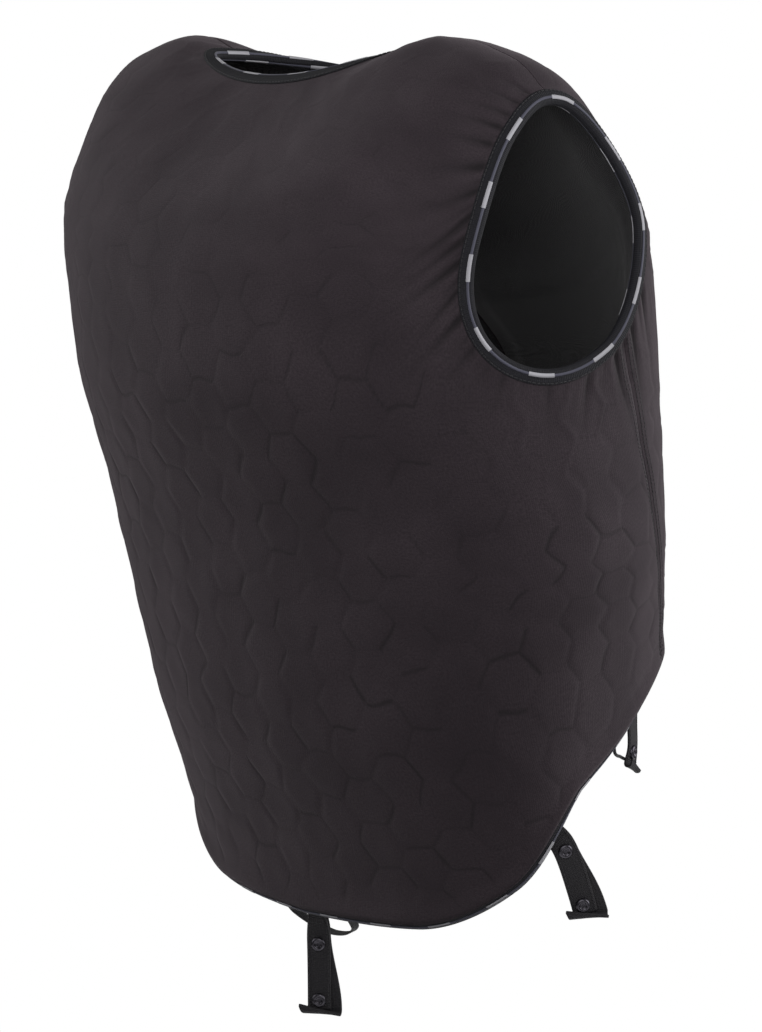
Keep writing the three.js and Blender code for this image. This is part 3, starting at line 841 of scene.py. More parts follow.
@dataclass(frozen=True)
class Grain:
    """One rounded grain of a few faces: a lockstitch of sewing thread, or a tooth of the zip.

    Attributes:
        profile: Rows of place along the half length and share of the full girth.
    """

    pitch: float = 3.0
    length: float = 2.5
    width: float = 0.7
    height: float = 0.55
    sides: int = 6
    profile: tuple[tuple[float, float], ...] = ((-1, 0.25), (-0.8, 0.8), (0, 1), (0.8, 0.8), (1, 0.25))

    def template(self) -> Object:
        """An object of one grain at the origin, lying along X and facing Z."""
        draft = MeshDraft()
        around = np.linspace(0, 2 * math.pi, self.sides, endpoint=False)
        ring = np.stack([0 * around, np.cos(around) * self.width, np.sin(around) * self.height], -1) / 2
        along = np.array([self.length / 2, 0, 0])
        draft.add_sweep(np.stack([along * share + ring * girth for share, girth in self.profile]))
        return draft.to_object("grain_template", [])


class RowMaker:
    """Turns paths into rows of geometry with two node trees."""

    def __init__(self) -> None:
        """Builds the trees."""
        self.copies = self.copies_tree()
        self.dashes = self.dashes_tree()

    @staticmethod
    def open_tree(name: str, inputs: dict[str, str]) -> tuple[NodeTree, Node]:
        """Starts a geometry tree on a path.

        Args:
            name: The tree's name.
            inputs: Kinds of the sockets after the path and before the finish, by their names.

        Returns:
            The tree and its input node.
        """
        tree = bpy.data.node_groups.new(name, "GeometryNodeTree")
        for label, kind in {"Path": "Geometry", **inputs, "Finish": "Material"}.items():
            tree.interface.new_socket(label, in_out="INPUT", socket_type=f"NodeSocket{kind}")
        tree.interface.new_socket("Row", in_out="OUTPUT", socket_type="NodeSocketGeometry")
        return tree, add_node(tree, "NodeGroupInput")

    @staticmethod
    def close_tree(tree: NodeTree, given: Node, row: NodeSocket) -> None:
        """Ends a tree with its row made real and in its finish."""
        real = add_node(tree, "GeometryNodeRealizeInstances", {0: row})
        dressed = add_node(tree, "GeometryNodeSetMaterial", {
            "Geometry": real.outputs[0], "Material": given.outputs["Finish"]})
        add_node(tree, "NodeGroupOutput", {"Row": dressed.outputs[0]})

    def copies_tree(self) -> NodeTree:
        """Tree that sets copies of one small piece along the path at an even pitch."""
        tree, given = self.open_tree("copies_along_path", {"Pitch": "Float", "Piece": "Object"})
        curve = add_node(tree, "GeometryNodeMeshToCurve", {"Mesh": given.outputs["Path"]})
        even = add_node(tree, "GeometryNodeResampleCurve", {
            "Curve": curve.outputs[0], "Length": given.outputs["Pitch"]}, mode="LENGTH")
        facing = add_node(
            tree, "GeometryNodeInputNamedAttribute", {"Name": "facing"}, data_type="FLOAT_VECTOR")
        tangent = add_node(tree, "GeometryNodeInputTangent")
        turn = add_node(tree, "FunctionNodeAxesToRotation", {
            0: facing.outputs[0], 1: tangent.outputs[0]}, primary_axis="Z", secondary_axis="X")
        piece = add_node(tree, "GeometryNodeObjectInfo", {"Object": given.outputs["Piece"]})
        placed = add_node(tree, "GeometryNodeInstanceOnPoints", {
            "Points": even.outputs[0], "Instance": piece.outputs["Geometry"], "Rotation": turn.outputs[0]})
        self.close_tree(tree, given, placed.outputs[0])
        return tree

    def dashes_tree(self) -> NodeTree:
        """Tree that sweeps flat woven dashes along the path, one in each period."""
        tree, given = self.open_tree("dashes_along_path", {
            "Period": "Float", "Dash": "Float", "Width": "Float", "Height": "Float"})
        run = add_node(tree, "GeometryNodeInputNamedAttribute", {"Name": "run"}, data_type="FLOAT")
        phase = add_node(tree, "ShaderNodeMath", {
            0: run.outputs[0], 1: given.outputs["Period"]}, operation="FLOORED_MODULO")
        bare = add_node(tree, "ShaderNodeMath", {
            0: phase.outputs[0], 1: given.outputs["Dash"]}, operation="GREATER_THAN")
        cut = add_node(tree, "GeometryNodeDeleteGeometry", {
            "Geometry": given.outputs["Path"], "Selection": bare.outputs[0]})
        curve = add_node(tree, "GeometryNodeMeshToCurve", {"Mesh": cut.outputs[0]})
        facing = add_node(
            tree, "GeometryNodeInputNamedAttribute", {"Name": "facing"}, data_type="FLOAT_VECTOR")
        laid = add_node(tree, "GeometryNodeSetCurveNormal", {
            "Curve": curve.outputs[0], "Normal": facing.outputs[0]}, mode="FREE")
        profile = add_node(tree, "GeometryNodeCurvePrimitiveQuadrilateral", {
            "Width": given.outputs["Height"], "Height": given.outputs["Width"]})
        swept = add_node(tree, "GeometryNodeCurveToMesh", {
            "Curve": laid.outputs[0], "Profile Curve": profile.outputs[0], "Fill Caps": True})
        self.close_tree(tree, given, swept.outputs[0])
        return tree

    @staticmethod
    def make(rows: PathRows, name: str, tree: NodeTree, values: dict) -> Object:
        """Runs a tree on paths and keeps the result as a plain mesh.

        Args:
            rows: The paths.
            name: The piece's name.
            tree: One of the two trees.
            values: The tree's inputs by name.

        Returns:
            The piece.
        """
        made = rows.to_object(name)
        modifier = made.modifiers.new("rows", "NODES")
        modifier.node_group = tree
        for item in tree.interface.items_tree:
            if item.item_type == "SOCKET" and item.in_out == "INPUT" and item.name in values:
                modifier[item.identifier] = values[item.name]
        graph = bpy.context.evaluated_depsgraph_get()
        mesh = bpy.data.meshes.new_from_object(made.evaluated_get(graph), depsgraph=graph)
        made.modifiers.clear()
        bare, made.data = made.data, mesh
        bpy.data.meshes.remove(bare)
        mesh.name = name
        return made

    def grains(self, rows: PathRows, name: str, grain: Grain, finish: Material) -> Object:
        """Sets a row of stitches or teeth along paths.

        Args:
            rows: The paths.
            name: The piece's name.
            grain: The stitch or tooth.
            finish: Its material.

        Returns:
            The piece.
        """
        template = grain.template()
        made = self.make(rows, name, self.copies, {
            "Pitch": grain.pitch * MM, "Piece": template, "Finish": finish})
        bpy.data.objects.remove(template)
        return made


# Padded panels


@dataclass(frozen=True)
class Stretch:
    """One stretch of a half vest's outer edge and the armhole degrees that its lines start from."""

    edge: Edge
    panel: Panel
    steps: int
    arm_from: float
    arm_to: float


STRETCHES = (
    Stretch(Edge.NECK, Panel.BACK, 66, 0, 46),
    Stretch(Edge.CENTRE, Panel.BACK, 190, 46, 150),
    Stretch(Edge.HEM, Panel.BACK, 150, 150, 220),
    Stretch(Edge.HEM, Panel.FRONT, 80, 220, 246),
    Stretch(Edge.ZIP, Panel.FRONT, 120, 246, 318),
    Stretch(Edge.NECK, Panel.FRONT, 56, 318, 360),
)


@dataclass(frozen=True)
class FoamTiles:
    """Hexagon foam tiles under the cloth, flat side up, with soft grooves at their joints.

    Attributes:
        flatness: Radius of the body's curve that each tile flattens.
        bare_armhole: A tile that lies nearer to the armhole than this is left out.
    """

    across_flats: float = 34
    groove_depth: float = 0.45
    groove_width: float = 3.2
    flatness: float = 420
    tilt: float = 0.015
    inset: float = 5
    bare_drop: float = 0.7
    bare_armhole: float = 44
    bare_neck: float = 40
    faint: float = 0.3
    faint_to: float = 80
    full_from: float = 280
    crease_from: float = 0.25
    crease_to: float = 1.4

    def places(self, flat: Array) -> tuple[Array, Array, Array]:
        """Tiles under flat places.

        Args:
            flat: Flat places of the cloth.

        Returns:
            Tile numbers in pairs, places from each tile's middle, and distance to its nearest joint.
        """
        high = self.across_flats
        cell = np.array([high * math.sqrt(3), high])
        even = np.round(flat / cell)
        odd = np.floor(flat / cell) + 0.5
        from_even, from_odd = flat - even * cell, flat - odd * cell
        first = (np.linalg.norm(from_even, axis=-1) < np.linalg.norm(from_odd, axis=-1))[..., None]
        tile = np.round(2 * np.where(first, even, odd)).astype(int)
        local = np.where(first, from_even, from_odd)
        size = np.abs(local)
        reach = np.maximum(size[..., 1], size[..., 0] * math.sqrt(3) / 2 + size[..., 1] / 2)
        return tile, local, high / 2 - reach

    def pad(self, tile: Array, local: Array, joint: Array) -> Array:
        """Rise of the cloth over tiles, with what places() gives for their places.

        Args:
            tile: Tile numbers in pairs.
            local: Places from each tile's middle.
            joint: Distances to the nearest joint.

        Returns:
            Rise in millimetres.
        """
        slants = [hashed(tile[..., 0], tile[..., 1], salt) - 0.5 for salt in (0.0, 2.0)]
        lean = slants[0] * local[..., 0] + slants[1] * local[..., 1]
        flat = (local[..., 0] ** 2 - self.across_flats ** 2 / 12) / (2 * self.flatness)
        groove = self.groove_depth * np.exp(-(joint / self.groove_width) ** 2)
        return (flat + 2 * self.tilt * lean) * smoothstep(joint, 0, self.inset) - groove

    def shown(self, height: Array) -> Array:
        """Share of the tiles' relief that shows at heights."""
        return self.faint + (1 - self.faint) * smoothstep(-height, self.faint_to, self.full_from)

    def joint_strength(self, tile: Array, local: Array) -> Array:
        """How sharply the cloth creases at the joint nearest to each place.

        Args:
            tile: Tile numbers in pairs.
            local: Places from each tile's middle.

        Returns:
            Strengths from 0 to 1.
        """
        sector = np.round((np.degrees(np.arctan2(local[..., 1], local[..., 0])) - 30) / 60)
        angle = np.radians(sector * 60 + 30)
        step = np.stack([np.cos(angle) * math.sqrt(3), np.sin(angle) * 3], -1)
        middle = np.round(tile * 3 + step).astype(int)
        return smoothstep(hashed(middle[..., 0], middle[..., 1], 5.0), self.crease_from, self.crease_to)


@dataclass(frozen=True)
class Gathers:
    """Creases of the cloth drawn in round the armhole.

    Attributes:
        main: Rows of place in degrees from the armhole's top, depth, and reach in millimetres.
        seed: Seed of the small creases and the slants.
    """

    main: tuple[tuple[float, float, float], ...] = (
        (14, 1.3, 12), (26, 1.9, 12), (37, 1.7, 14), (46, 2.5, 14), (56, 2.1, 16), (66, 2.8, 15),
        (76, 2.2, 18), (86, 3.0, 19), (96, 2.8, 18), (106, 3.1, 21), (117, 2.4, 17), (128, 2.8, 18),
        (142, 1.8, 13), (160, 1.2, 11), (180, 1.2, 12), (199, 1.9, 17), (213, 2.9, 30), (226, 3.1, 30),
        (239, 2.5, 24))
    spread: float = 1.7
    small_spread: float = 1.3
    rise: float = 5
    lean: float = 0.09
    sharpness: float = 0.65
    puff: float = 0.16
    seed: int = 11

    def height(self, angle: Array, from_armhole: Array) -> Array:
        """Height of the gathered cloth, mostly below zero.

        Args:
            angle: Degrees round the armhole from its top.
            from_armhole: Distances from the armhole's edge.

        Returns:
            Heights in millimetres.
        """
        random = np.random.default_rng(self.seed)
        rows = [(at, depth, reach, self.spread) for at, depth, reach in self.main]
        for (left, depth, reach), (right, _, _) in zip(self.main, self.main[1:]):
            between = left + (right - left) * random.uniform(0.35, 0.65)
            depth, reach = depth * random.uniform(0.3, 0.7), reach * random.uniform(0.4, 0.7)
            rows.append((between, depth, reach, self.small_spread))
        total = np.zeros(np.broadcast(angle, from_armhole).shape)
        for at, depth, reach, spread in rows:
            lean = random.uniform(-self.lean, self.lean)
            off = np.abs(angle - at - lean * from_armhole) / spread
            sharp, soft = np.exp(-off * 1.5), np.exp(-(off / 1.7) ** 2)
            valley = self.sharpness * sharp + (1 - self.sharpness) * soft
            beside = self.puff * np.exp(-((off - 2.1) / 0.9) ** 2)
            fade = smoothstep(from_armhole, 0, self.rise) * np.exp(-from_armhole / reach)
            total += depth * (beside - valley) * fade
        return total


@dataclass
class ClothGrid:
    """Grid of wall points of one panel on one side: lines from the armhole's edge by rings.

    Attributes:
        rings: Rings of the outer cloth, one more than a multiple of inner_every.
        inner_every: The inner cloth keeps one ring in this many.
        shoulder: Depths below the shoulders between which a seam grows to its full depth.
    """

    form: TorsoForm
    flat: FlatCloth
    panel: Panel
    side: Side
    tiles: FoamTiles = field(default_factory=FoamTiles)
    gathers: Gathers = field(default_factory=Gathers)
    rings: int = 101
    inner_every: int = 5
    inner_dent: float = 0.35
    seam_depth: float = 1.9
    seam_width: float = 3.6
    seam_at_shoulder: float = 0.15
    seam_gap: float = 0.3
    zip_overlap: float = 4.8
    ripple: float = 0.3
    ripple_waves: tuple[float, ...] = (190, 130, 90, 64, 47, 36)
    ripple_seed: int = 5
    drift: float = 1.3
    drift_waves: tuple[float, ...] = (61, 37, 26, 19)
    drift_seed: int = 17
    roll_out: float = 1.8
    roll_drop: float = 2.9
    roll_width: float = 14
    edge_calm: float = 8
    hem_calm: tuple[float, float] = (2, 16)
    seam_calm: tuple[float, float] = (4, 14)
    shoulder: tuple[float, float] = (70, 140)
    fold_depth: float = 1.3
    fold_most: float = 0.92

    def __post_init__(self) -> None:
        """Lays out the lines and works out the wall's outer and inner points."""
        self.lay_lines()
        form, sign = self.form, self.side.value
        stops = np.linspace(0, 1, self.rings)[None, :]
        arm_turn, arm_level = (a[:, None] for a in form.armhole(self.angle))
        turn = arm_turn + (self.edge_turn[:, None] - arm_turn) * stops
        level = arm_level + (self.edge_level[:, None] - arm_level) * stops
        surface, self.normal = form.point(sign * turn, level), form.normal(sign * turn, level)
        rim, neck = form.point(sign * arm_turn, arm_level), form.point(sign * turn, 1.0)
        self.from_armhole, self.from_neck = (np.linalg.norm(surface - edge, axis=-1) for edge in (rim, neck))
        self.from_hem = np.maximum(surface[..., 2] - form.hem_curve(turn) - form.binding_width, 0)
        self.from_edge = np.minimum(np.minimum(self.from_armhole, self.from_neck), self.from_hem)
        self.from_seam = self.seam_distance(surface)
        self.spots = self.drifted(self.flat.at(sign * turn, level))
        relief, self.crease = self.relief(surface[..., 2])
        roll = 1 - smoothstep(self.from_hem, 0, self.roll_width)
        outer = surface + self.normal * (relief + self.roll_out * roll)[..., None]
        outer[..., 2] -= self.roll_drop * roll
        taper = smoothstep(self.from_edge, 0, form.wall_taper)
        thickness = form.edge_wall + (form.wall - form.edge_wall) * taper
        inner = surface - self.normal * (thickness + self.inner_dent * np.minimum(relief, 0))[..., None]
        beside_zip = np.array([edge is Edge.ZIP for edge in self.edges])
        inner[beside_zip, -1, 0] += sign * self.zip_overlap
        self.outer = self.trimmed(outer, surface)
        self.inner = self.trimmed(inner, surface)[:, ::self.inner_every]

    def lay_lines(self) -> None:
        """Works out each line's place on the armhole's edge and on the outer edge."""
        angles, turns, levels, self.edges = [], [], [], []
        for stretch in (s for s in STRETCHES if s.panel is self.panel):
            # A later stretch leaves out the place that it shares with the one before.
            first = 1 if angles else 0
            shares = self.even_shares(stretch)[first:]
            turn, level = self.edge_place(stretch, shares)
            angles.append(np.linspace(stretch.arm_from, stretch.arm_to, stretch.steps + 1)[first:])
            turns.append(turn)
            levels.append(level)
            self.edges += [stretch.edge] * len(shares)
        self.angle, self.edge_turn, self.edge_level = (np.concatenate(x) for x in (angles, turns, levels))

    def edge_place(self, stretch: Stretch, share: Array) -> tuple[Array, Array]:
        """Places on the outer edge.

        Args:
            stretch: The stretch of the edge.
            share: Shares of its way.

        Returns:
            Turns and levels.
        """
        form, back = self.form, stretch.panel is Panel.BACK
        low = form.hem_level(0.0 if back else 180.0)
        if stretch.edge is Edge.NECK:
            start, end = (form.shoulder_seam, 0) if back else (form.zip_turn(1.0), form.shoulder_seam)
            return start + (end - start) * share, np.ones_like(share)
        if stretch.edge is Edge.HEM:
            start, end = (0, form.side_seam) if back else (form.side_seam, form.zip_turn(low))
            turn = start + (end - start) * share
            return turn, form.hem_level(turn)
        if stretch.edge is Edge.ZIP:
            level = low + (1 - low) * share
            return form.zip_turn(level), level
        return np.zeros_like(share), 1 + (low - 1) * share

    def even_shares(self, stretch: Stretch) -> Array:
        """Shares of a stretch that stand evenly along the surface."""
        fine = np.linspace(0, 1, 600)
        length = run_lengths(self.form.point(*self.edge_place(stretch, fine)))
        return np.interp(np.linspace(0, length[-1], stretch.steps + 1), length, fine)

    def seam_distance(self, surface: Array) -> Array:
        """Distance of each point from the panel's nearer sewn side or zip edge, along its ring."""
        run = run_lengths(surface)
        distance = np.minimum(run, run[-1:] - run)
        if self.panel is Panel.FRONT:
            distance = np.minimum(distance, np.abs(surface[..., 0]) - self.form.zip_half_width)
        return distance

    def relief(self, height: Array) -> tuple[Array, Array]:
        """Rise of the outer cloth over the plain form, and how sharply it creases at tile joints.

        Args:
            height: Heights of the points.

        Returns:
            Rise in millimetres and crease strength from 0 to 1.
        """
        tiles = self.tiles
        tile, local, joint = tiles.places(self.spots)
        covered, shown = self.covered(tile), tiles.shown(height)
        calm = smoothstep(self.from_hem, *self.hem_calm) * smoothstep(self.from_seam, *self.seam_calm)
        bare = -tiles.bare_drop * smoothstep(joint, 0, tiles.inset)
        gathered = self.gathers.height(self.angle[:, None], self.from_armhole)
        # The fold strength sets the gathers' bump in the cloth's shader and the shade painted into their
        # colour.
        self.fold = np.clip(-gathered / self.fold_depth, 0, self.fold_most)
        drawn_in = self.seam_at_shoulder + (1 - self.seam_at_shoulder) * smoothstep(-height, *self.shoulder)
        seam = self.seam_depth * drawn_in * np.exp(-(self.from_seam / self.seam_width) ** 2)
        rise = np.where(covered, tiles.pad(tile, local, joint) * calm, bare) * shown
        rise += gathered - seam + self.ripples()
        # The crease strength sets the tile joints' bump in the cloth's shader and the shade painted into
        # their colour.
        crease = np.where(covered, tiles.joint_strength(tile, local) * shown * calm, 0)
        return rise * smoothstep(self.from_edge, 0, self.edge_calm), crease

    def covered(self, tile: Array) -> Array:
        """True at places whose tile lies clear of the armhole and the neck as a whole."""
        _, which = np.unique(tile.reshape(-1, 2), axis=0, return_inverse=True)
        which = which.reshape(tile.shape[:-1])
        clear = np.ones(which.shape, bool)
        for distance, bare in (
                (self.from_armhole, self.tiles.bare_armhole), (self.from_neck, self.tiles.bare_neck)):
            means = np.bincount(which.ravel(), distance.ravel()) / np.bincount(which.ravel())
            clear &= means[which] > bare
        return clear

    def drifted(self, flat: Array) -> Array:
        """Flat places of the cloth, moved a little so that the tiles' joints run unevenly."""
        random = np.random.default_rng(self.drift_seed)
        moved = flat.copy()
        for wave in self.drift_waves:
            angle, phase, way = random.uniform(0, 2 * math.pi, 3)
            sway = waved(flat, wave, angle, phase) * self.drift * math.sqrt(wave / self.drift_waves[0])
            moved += sway[..., None] * np.array([math.cos(way), math.sin(way)])
        return moved

    def ripples(self) -> Array:
        """Rise of the cloth's gentle unevenness."""
        random = np.random.default_rng(self.ripple_seed)
        total = np.zeros(self.spots.shape[:-1])
        for wave in self.ripple_waves:
            angle, phase = random.uniform(0, math.pi), random.uniform(0, 2 * math.pi)
            total += waved(self.spots, wave, angle, phase) * math.sqrt(wave / self.ripple_waves[0])
        return self.ripple * total

    def trimmed(self, points: Array, surface: Array) -> Array:
        """Draws the panel's two sewn sides back by half the gap between panels."""
        moved, tiny = points.copy(), 1e-9
        for line, beside in ((0, 4), (-1, -5)):
            moved[line] += unit(surface[beside] - surface[line] + tiny) * self.seam_gap / 2
        return moved

    def seam_path(self, line: int, distance: float, margin: float = 6.0) -> tuple[Array, Array]:
        """A path on the outer cloth beside a sewn side.

        Args:
            line: 0 for the panel's first line or -1 for its last.
            distance: Distance from the sewn side.
            margin: Length left free at the path's ends.

        Returns:
            Points and the directions that they face.
        """
        order = slice(None) if line == 0 else slice(None, None, -1)
        near = 60
        outer, normal = (grid[order][:near] for grid in (self.outer, self.normal))
        path, facing = [], []
        for ring in range(self.rings):
            run = run_lengths(outer[:, ring])
            path.append(sampled(distance, run, outer[:, ring]))
            facing.append(sampled(distance, run, normal[:, ring]))
        path, facing = np.array(path), unit(np.array(facing))
        run = run_lengths(path)
        inside = (run > margin) & (run < run[-1] - margin)
        return path[inside], facing[inside]


@dataclass
class PaddedPanel:
    """One padded panel of the vest: outer cloth, lining and the foam's thickness between."""

    name: str
    grids: Sequence[ClothGrid]
    finishes: Finishes

    def build(self) -> Object:
        """Makes the panel's closed shell, with its halves joined down the centre back."""
        draft = MeshDraft()
        creases, folds, shared = [], [], None
        for grid in self.grids:
            outer, inner = draft.add_points(grid.outer), draft.add_points(grid.inner)
            creases += [grid.crease.ravel(), np.zeros(inner.size)]
            folds += [grid.fold.ravel(), np.zeros(inner.size)]
            centre = np.array([edge is Edge.CENTRE for edge in grid.edges])
            if shared is not None:
                outer[centre, -1], inner[centre, -1] = shared
            shared = (outer[centre, -1], inner[centre, -1])
            self.add_wall(draft, grid, outer, inner, centre)
        made = draft.to_object(self.name, [self.finishes.cloth, self.finishes.lining])
        used = np.unique(np.concatenate(draft.corners))
        # The crease and fold attributes darken the cloth's colour in its creases as painted shade, and set
        # their bump.
        for name, values in (("crease", creases), ("fold", folds)):
            layer = made.data.attributes.new(name, "FLOAT", "POINT")
            layer.data.foreach_set("value", np.concatenate(values)[used].astype(np.float32))
        return made

    @staticmethod
    def add_wall(draft: MeshDraft, grid: ClothGrid, outer: Array, inner: Array, centre: Array) -> None:
        """Adds the faces of one half: cloth, lining, and the walls along its open edges.

        Args:
            draft: The panel's mesh.
            grid: The half's grid.
            outer: Point numbers of the outer cloth.
            inner: Point numbers of the lining.
            centre: True for lines that end on the centre back.
        """
        every = grid.inner_every
        draft.add_quads(outer, grid.spots)
        draft.add_quads(inner, grid.spots[:, ::every], 1)
        for column, runs in ((0, [(0, len(centre))]), (-1, PaddedPanel.open_runs(centre))):
            wall = np.stack([outer[:, column], inner[:, column]], 1)
            spots = np.stack([grid.spots[:, column]] * 2, 1)
            for start, end in runs:
                draft.add_quads(wall[start:end], spots[start:end])
        for line in (0, -1):
            for k in range(inner.shape[1] - 1):
                top = outer[line, k * every:(k + 1) * every + 1]
                draft.add_face([*top, inner[line, k + 1], inner[line, k]])

    @staticmethod
    def open_runs(centre: Array) -> list[tuple[int, int]]:
        """Runs of lines whose outer edge is open, as first line and one past the last."""
        if not centre.any():
            return [(0, len(centre))]
        first, last = np.flatnonzero(centre)[[0, -1]]
        return [(0, first), (last, len(centre))]


# Bound edges


@dataclass
class BoundEdge:
    """Tape folded over an edge of the vest, with woven dashes on both of its shoulders.

    Attributes:
        name: The piece's name, which is also its solid's.
        turn: Turns of the edge's places.
        level: Levels of the edge's places.
        inside: A point inside the panel beside each place.
        ring: True for a closed edge.
    """

    name: str
    form: TorsoForm
    turn: Array
    level: Array
    inside: Array
    ring: bool
    finishes: Finishes
    rows: RowMaker
    lap: float = 1.8
    dash_period: float = 47
    dash: float = 18
    dash_start: float = 0
    dash_width: float = 2.6
    dash_height: float = 0.4
    line_width: float = 1.7
    dash_at: float = 6.15
    dash_out: float = 2.75
    dash_tilt: float = 0.62
    stitch_in: float = 1.2

    def __post_init__(self) -> None:
        """Works out the tape's frame along the edge."""
        form = self.form
        normal = form.normal(self.turn, self.level)
        middle = form.point(self.turn, self.level) - normal * form.edge_wall / 2
        if self.ring:
            ahead = np.roll(middle, -1, 0) - np.roll(middle, 1, 0)
        else:
            ahead = np.gradient(middle, axis=0)
        away = unit(np.cross(ahead, normal))
        flip = np.sum(away * (self.inside - middle), -1) > 0
        away[flip] *= -1
        if not self.ring:
            away[[0, -1], 0] = 0
            away = unit(away)
        self.middle, self.normal, self.away = middle, normal, away

    def section(self) -> list[tuple[float, float]]:
        """Places of the tape's closed section: away from the panel, and outwards."""
        wide, half = self.form.binding_width, self.form.binding_thickness / 2
        bed = self.form.edge_wall / 2 + 0.25
        outside = [(-self.lap, half - 0.55), (-self.lap + 0.5, half - 0.05), (0.4, half + 0.1), (2.8, half),
                   (4.9, half * 0.9), (6.4, half * 0.7), (7.5, half * 0.4), (wide, 0)]
        inside = [(wide - 1.3, 0), (wide - 2.4, bed * 0.62), (3.4, bed * 0.9), (0.3, bed),
                  (-self.lap + 0.2, bed)]
        fold = outside + [(a, -n) for a, n in outside[-2::-1]]
        return fold + [(a, -n) for a, n in inside[::-1]] + inside[1:]

    def places(self, away: float, out: float) -> Array:
        """Points beside the edge: so far away from the panel and so far outwards."""
        return self.middle + self.away * away + self.normal * out

    def build(self) -> None:
        """Makes the tape, its dashes, the line between them and its stitches."""
        draft = MeshDraft()
        draft.add_sweep(np.stack([self.places(a, n) for a, n in self.section()], 1), self.ring)
        keep(draft.to_object(f"{self.name}_tape", [self.finishes.tape]), "binding", self.name)
        self.build_dashes()
        stitches = PathRows()
        out = self.form.binding_thickness / 2 + 0.06
        for way in (1, -1):
            path = self.places(self.stitch_in - self.lap, way * out)
            stitches.add(*self.finer(path, self.normal * way))
        name = f"{self.name}_stitches"
        keep(self.rows.grains(stitches, name, Grain(), self.finishes.thread), "binding")

    def build_dashes(self) -> None:
        """Makes the white dashes on both faces of the tape and the grey line under them."""
        dashes, lines = PathRows(), PathRows()
        length = run_lengths(self.closed(self.places(self.dash_at, self.dash_out)))[-1]
        period = length / max(round(length / self.dash_period), 1) if self.ring else self.dash_period
        proud, sunk = 0.02, 0.08
        upright = math.sqrt(1 - self.dash_tilt ** 2)
        for way, start in ((1, self.dash_start), (-1, self.dash_start + period * 0.45)):
            facing = unit(self.away * self.dash_tilt + self.normal * way * upright)
            path = self.places(self.dash_at, way * self.dash_out) + facing * proud
            fine, facing = self.finer(path, facing)
            dashes.add(fine, facing, start)
            lines.add(fine - facing * sunk, facing, start)
        values = {"Period": period * MM, "Height": self.dash_height * MM}
        for name, paths, dash, width, finish in (
                ("dashes", dashes, self.dash, self.dash_width, self.finishes.dash),
                ("line", lines, period, self.line_width, self.finishes.line)):
            values |= {"Dash": dash * MM, "Width": width * MM, "Finish": finish}
            keep(self.rows.make(paths, f"{self.name}_{name}", self.rows.dashes, values), "binding")

    def closed(self, values: Array) -> Array:
        """Values along the edge, with the first again at the end of a ring."""
        return np.concatenate([values, values[:1]]) if self.ring else values

    def finer(self, points: Array, facing: Array) -> tuple[Array, Array]:
        """Points about a millimetre apart along the edge, and their facings."""
        points, facing = self.closed(points), self.closed(facing)
        run = run_lengths(points)
        even = np.linspace(0, run[-1], int(run[-1]) + 1)
        return sampled(even, run, points), unit(sampled(even, run, facing))


# Straps, studs and loops


@dataclass(frozen=True)
class Station:
    """One cross-section's frame along a band: middle, run, unit directions and own half widths."""

    at: Array
    run: float
    down: Array
    across: Array
    face: Array
    before: float | None = None
    beyond: float | None = None


@dataclass
class HemFrame:
    """The hem at one turn: a point amid its edge, and directions along, outwards and off the panel."""

    form: TorsoForm
    turn: float

    def __post_init__(self) -> None:
        """Works out the frame."""
        form, turn = self.form, self.turn
        level = form.hem_level(turn)
        self.outward = form.normal(turn, level)
        before, after = (form.point(t, form.hem_level(t)) for t in (turn - 1.0, turn + 1.0))
        self.along = unit(after - before)
        off = unit(np.cross(self.outward, self.along))
        self.off = off if off[2] < 0 else -off
        self.at = form.point(turn, level) - self.outward * form.edge_wall / 2

    def behind(self, thickness: float, off: float, deeper: float = 0.0) -> Array:
        """A place behind the binding for the middle of a band.

        Args:
            thickness: The band's thickness.
            off: How far off the panel it is.
            deeper: How much further in it lies.

        Returns:
            The point.
        """
        seat = 0.9
        back = self.form.binding_thickness / 2 + seat + thickness / 2 + deeper
        return self.at - self.outward * back + self.off * off


def ribbon(stations: Sequence[Station], width: float, thickness: float, cup: float = 0.0) -> Array:
    """Sections of a flat band with rounded edges.

    Args:
        stations: Frames along the band.
        width: The band's width where a station has no half widths of its own.
        thickness: The band's thickness.
        cup: How far its middle stands out over its edges.

    Returns:
        Points, sections by corners.
    """
    half, thick = width / 2, thickness / 2
    shares = np.array([1, 0.985, 0.94, 0.6, 0.3, 0, -0.3, -0.6, -0.94, -0.985, -1])
    lifts = np.array([0.35, 0.8, 1, 0.94, 1, 0.94, 1, 0.94, 1, 0.8, 0.35])
    share = np.concatenate([shares, shares[::-1]])
    out = np.concatenate([lifts, -lifts[::-1]]) * thick + cup * (1 - share ** 2)
    sections = []
    for s in stations:
        reach = np.where(share > 0, s.beyond or half, s.before or half)
        sections.append(s.at + (share * reach)[:, None] * s.across + out[:, None] * s.face)
    return np.stack(sections)


@dataclass
class PressStud:
    """Domed ring cap of a press stud with a dimple in its middle."""

    node: str
    face: Array
    finishes: Finishes
    sides: int = 32
    profile: tuple[tuple[float, float], ...] = (
        (0.9, 1.05), (1.7, 1.05), (2.0, 1.25), (2.3, 1.75), (2.9, 2.05), (3.6, 2.0), (4.3, 1.6), (4.8, 0.8),
        (4.85, 0.2), (4.6, 0.0))

    def build(self) -> None:
        """Makes the stud where its solid is."""
        low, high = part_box(self.node)
        centre = np.array((low + high) / 2) / MM
        side = unit(np.cross(self.face, [0.0, 0.0, 1.0]))
        up = np.cross(side, self.face)
        around = np.linspace(0, 2 * math.pi, self.sides, endpoint=False)
        spokes = np.cos(around)[:, None] * side + np.sin(around)[:, None] * up
        base = centre - self.face * 1.0
        sections = np.stack([base + spokes * r + self.face * h for r, h in self.profile])
        draft = MeshDraft()
        draft.add_sweep(sections)
        piece = draft.to_object(f"{self.node}_cap", [self.finishes.stud], sharp=50)
        keep(piece, "stud", self.node)


